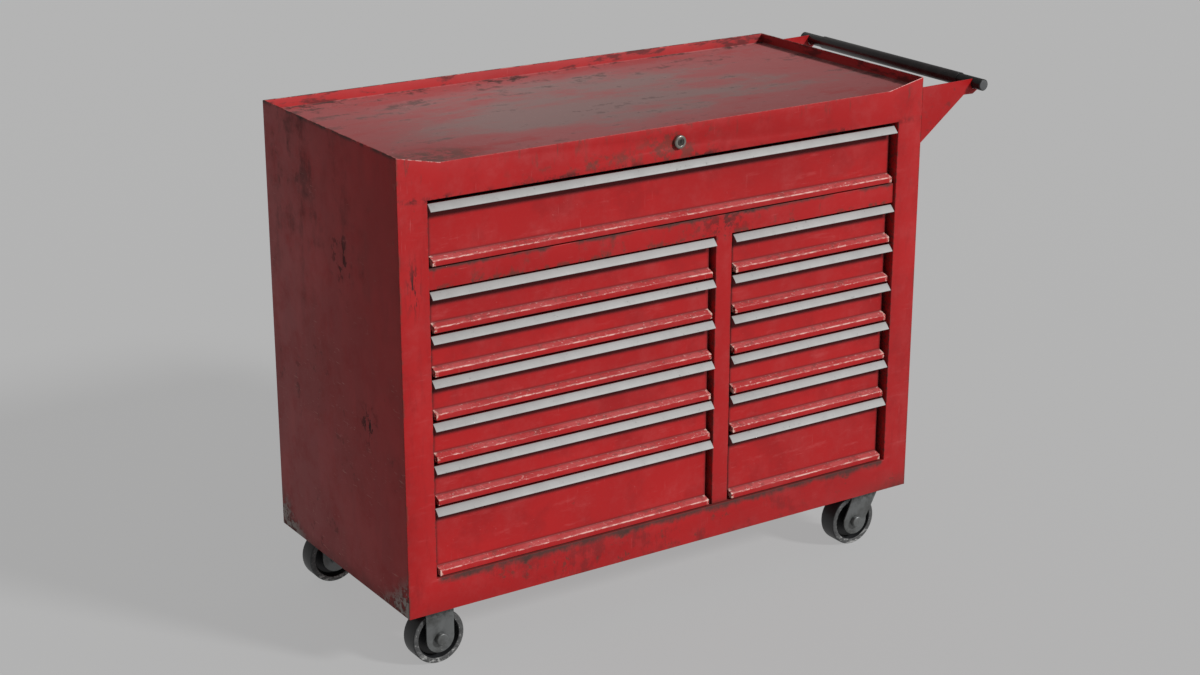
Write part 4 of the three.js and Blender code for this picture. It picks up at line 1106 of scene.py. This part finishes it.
PLATE_HOLE_X, PLATE_HOLE_Y = 40 * MM, 30 * MM
PLATE_UNDERSIDE = BOTTOM + 7.7 * MM
CASTER_INSET_X, CASTER_INSET_Y = 72 * MM, 48 * MM
PLATE_BOLT_RADIUS, PLATE_BOLT_HEIGHT = 6.4 * MM, 5.2 * MM
hexagon = hexagon_bolt(PLATE_BOLT_RADIUS, PLATE_BOLT_HEIGHT)
for caster in CASTERS:
    end, side = caster.split("_")
    x = LEFT + CASTER_INSET_X if side == "left" else RIGHT - CASTER_INSET_X
    y = FRONT + CASTER_INSET_Y if end == "front" else BACK - CASTER_INSET_Y
    heads = [copied(hexagon, (x + u * PLATE_HOLE_X, y + v * PLATE_HOLE_Y, PLATE_UNDERSIDE))
             for u in (-1, 1) for v in (-1, 1)]
    pick(*heads)
    bpy.ops.object.join()
    settle(bpy.context.object, caster + "_plate_bolts", bolt_steel, "cabinet")
bpy.data.objects.remove(hexagon)

BRACKET_FACE = RIGHT + 2.3 * MM
BRACKET_BOLT_INSET = 17 * MM
BRACKET_BOLT_HEIGHTS = (722 * MM, 775 * MM)
BRACKET_BOLT_RADIUS, BRACKET_BOLT_HEIGHT = 6 * MM, 3.4 * MM
domed = domed_bolt(BRACKET_BOLT_RADIUS, BRACKET_BOLT_HEIGHT)
for end, y in (("front", FRONT + BRACKET_BOLT_INSET), ("rear", BACK - BRACKET_BOLT_INSET)):
    heads = [copied(domed, (BRACKET_FACE, y, BOTTOM + z)) for z in BRACKET_BOLT_HEIGHTS]
    pick(*heads)
    bpy.ops.object.join()
    settle(bpy.context.object, end + "_bracket_bolts", bolt_steel, "cabinet")
bpy.data.objects.remove(domed)

# %% [markdown]
# ## Floor, light and camera
# The chest stands on a plain grey studio floor, which shines a little by itself so that it stays even.

# %% Floor
bpy.ops.object.select_all(action="DESELECT")
bpy.ops.mesh.primitive_plane_add(size=80, location=(0, 0, 0))
floor = bpy.context.object
floor.name = "studio_floor"
floor_paint = Paint("studio_floor_finish", Base_Color=srgb(80, 80, 80), Roughness=0.95,
                    Emission_Color=srgb(178, 178, 178), Emission_Strength=0.82)
floor.data.materials.append(floor_paint.material)

# %% [markdown]
# A broad sun from the chest's front right gives the drawers their shadows, and an even pale sky fills the
# side that faces away.

# %% Light
sun = bpy.data.lights.new("key", "SUN")
sun.energy = 3.3
sun.angle = math.radians(9)
key = bpy.data.objects.new("key", sun)
bpy.context.scene.collection.objects.link(key)
key.rotation_euler = Vector((-0.62, 1.0, -0.72)).to_track_quat("-Z", "Y").to_euler()
world = bpy.data.worlds.new("studio")
bpy.context.scene.world = world
world.use_nodes = True
world.node_tree.nodes["Background"].inputs["Color"].default_value = (1.0, 0.99, 0.98, 1.0)
world.node_tree.nodes["Background"].inputs["Strength"].default_value = 0.27
bpy.context.scene.view_settings.view_transform = "Standard"

# %% [markdown]
# The camera stands at the front left, a little above, with a moderately long lens.

# %% Camera
lens = bpy.data.cameras.new("camera")
lens.lens = 67.03
lens.sensor_width = 36
camera = bpy.data.objects.new("camera", lens)
bpy.context.scene.collection.objects.link(camera)
camera.location = (-2.2553, -3.3406, 1.8264)
aim = Vector((-0.0999, -0.0427, 0.4701)) - camera.location
camera.rotation_euler = aim.to_track_quat("-Z", "Y").to_euler()
bpy.context.scene.camera = camera
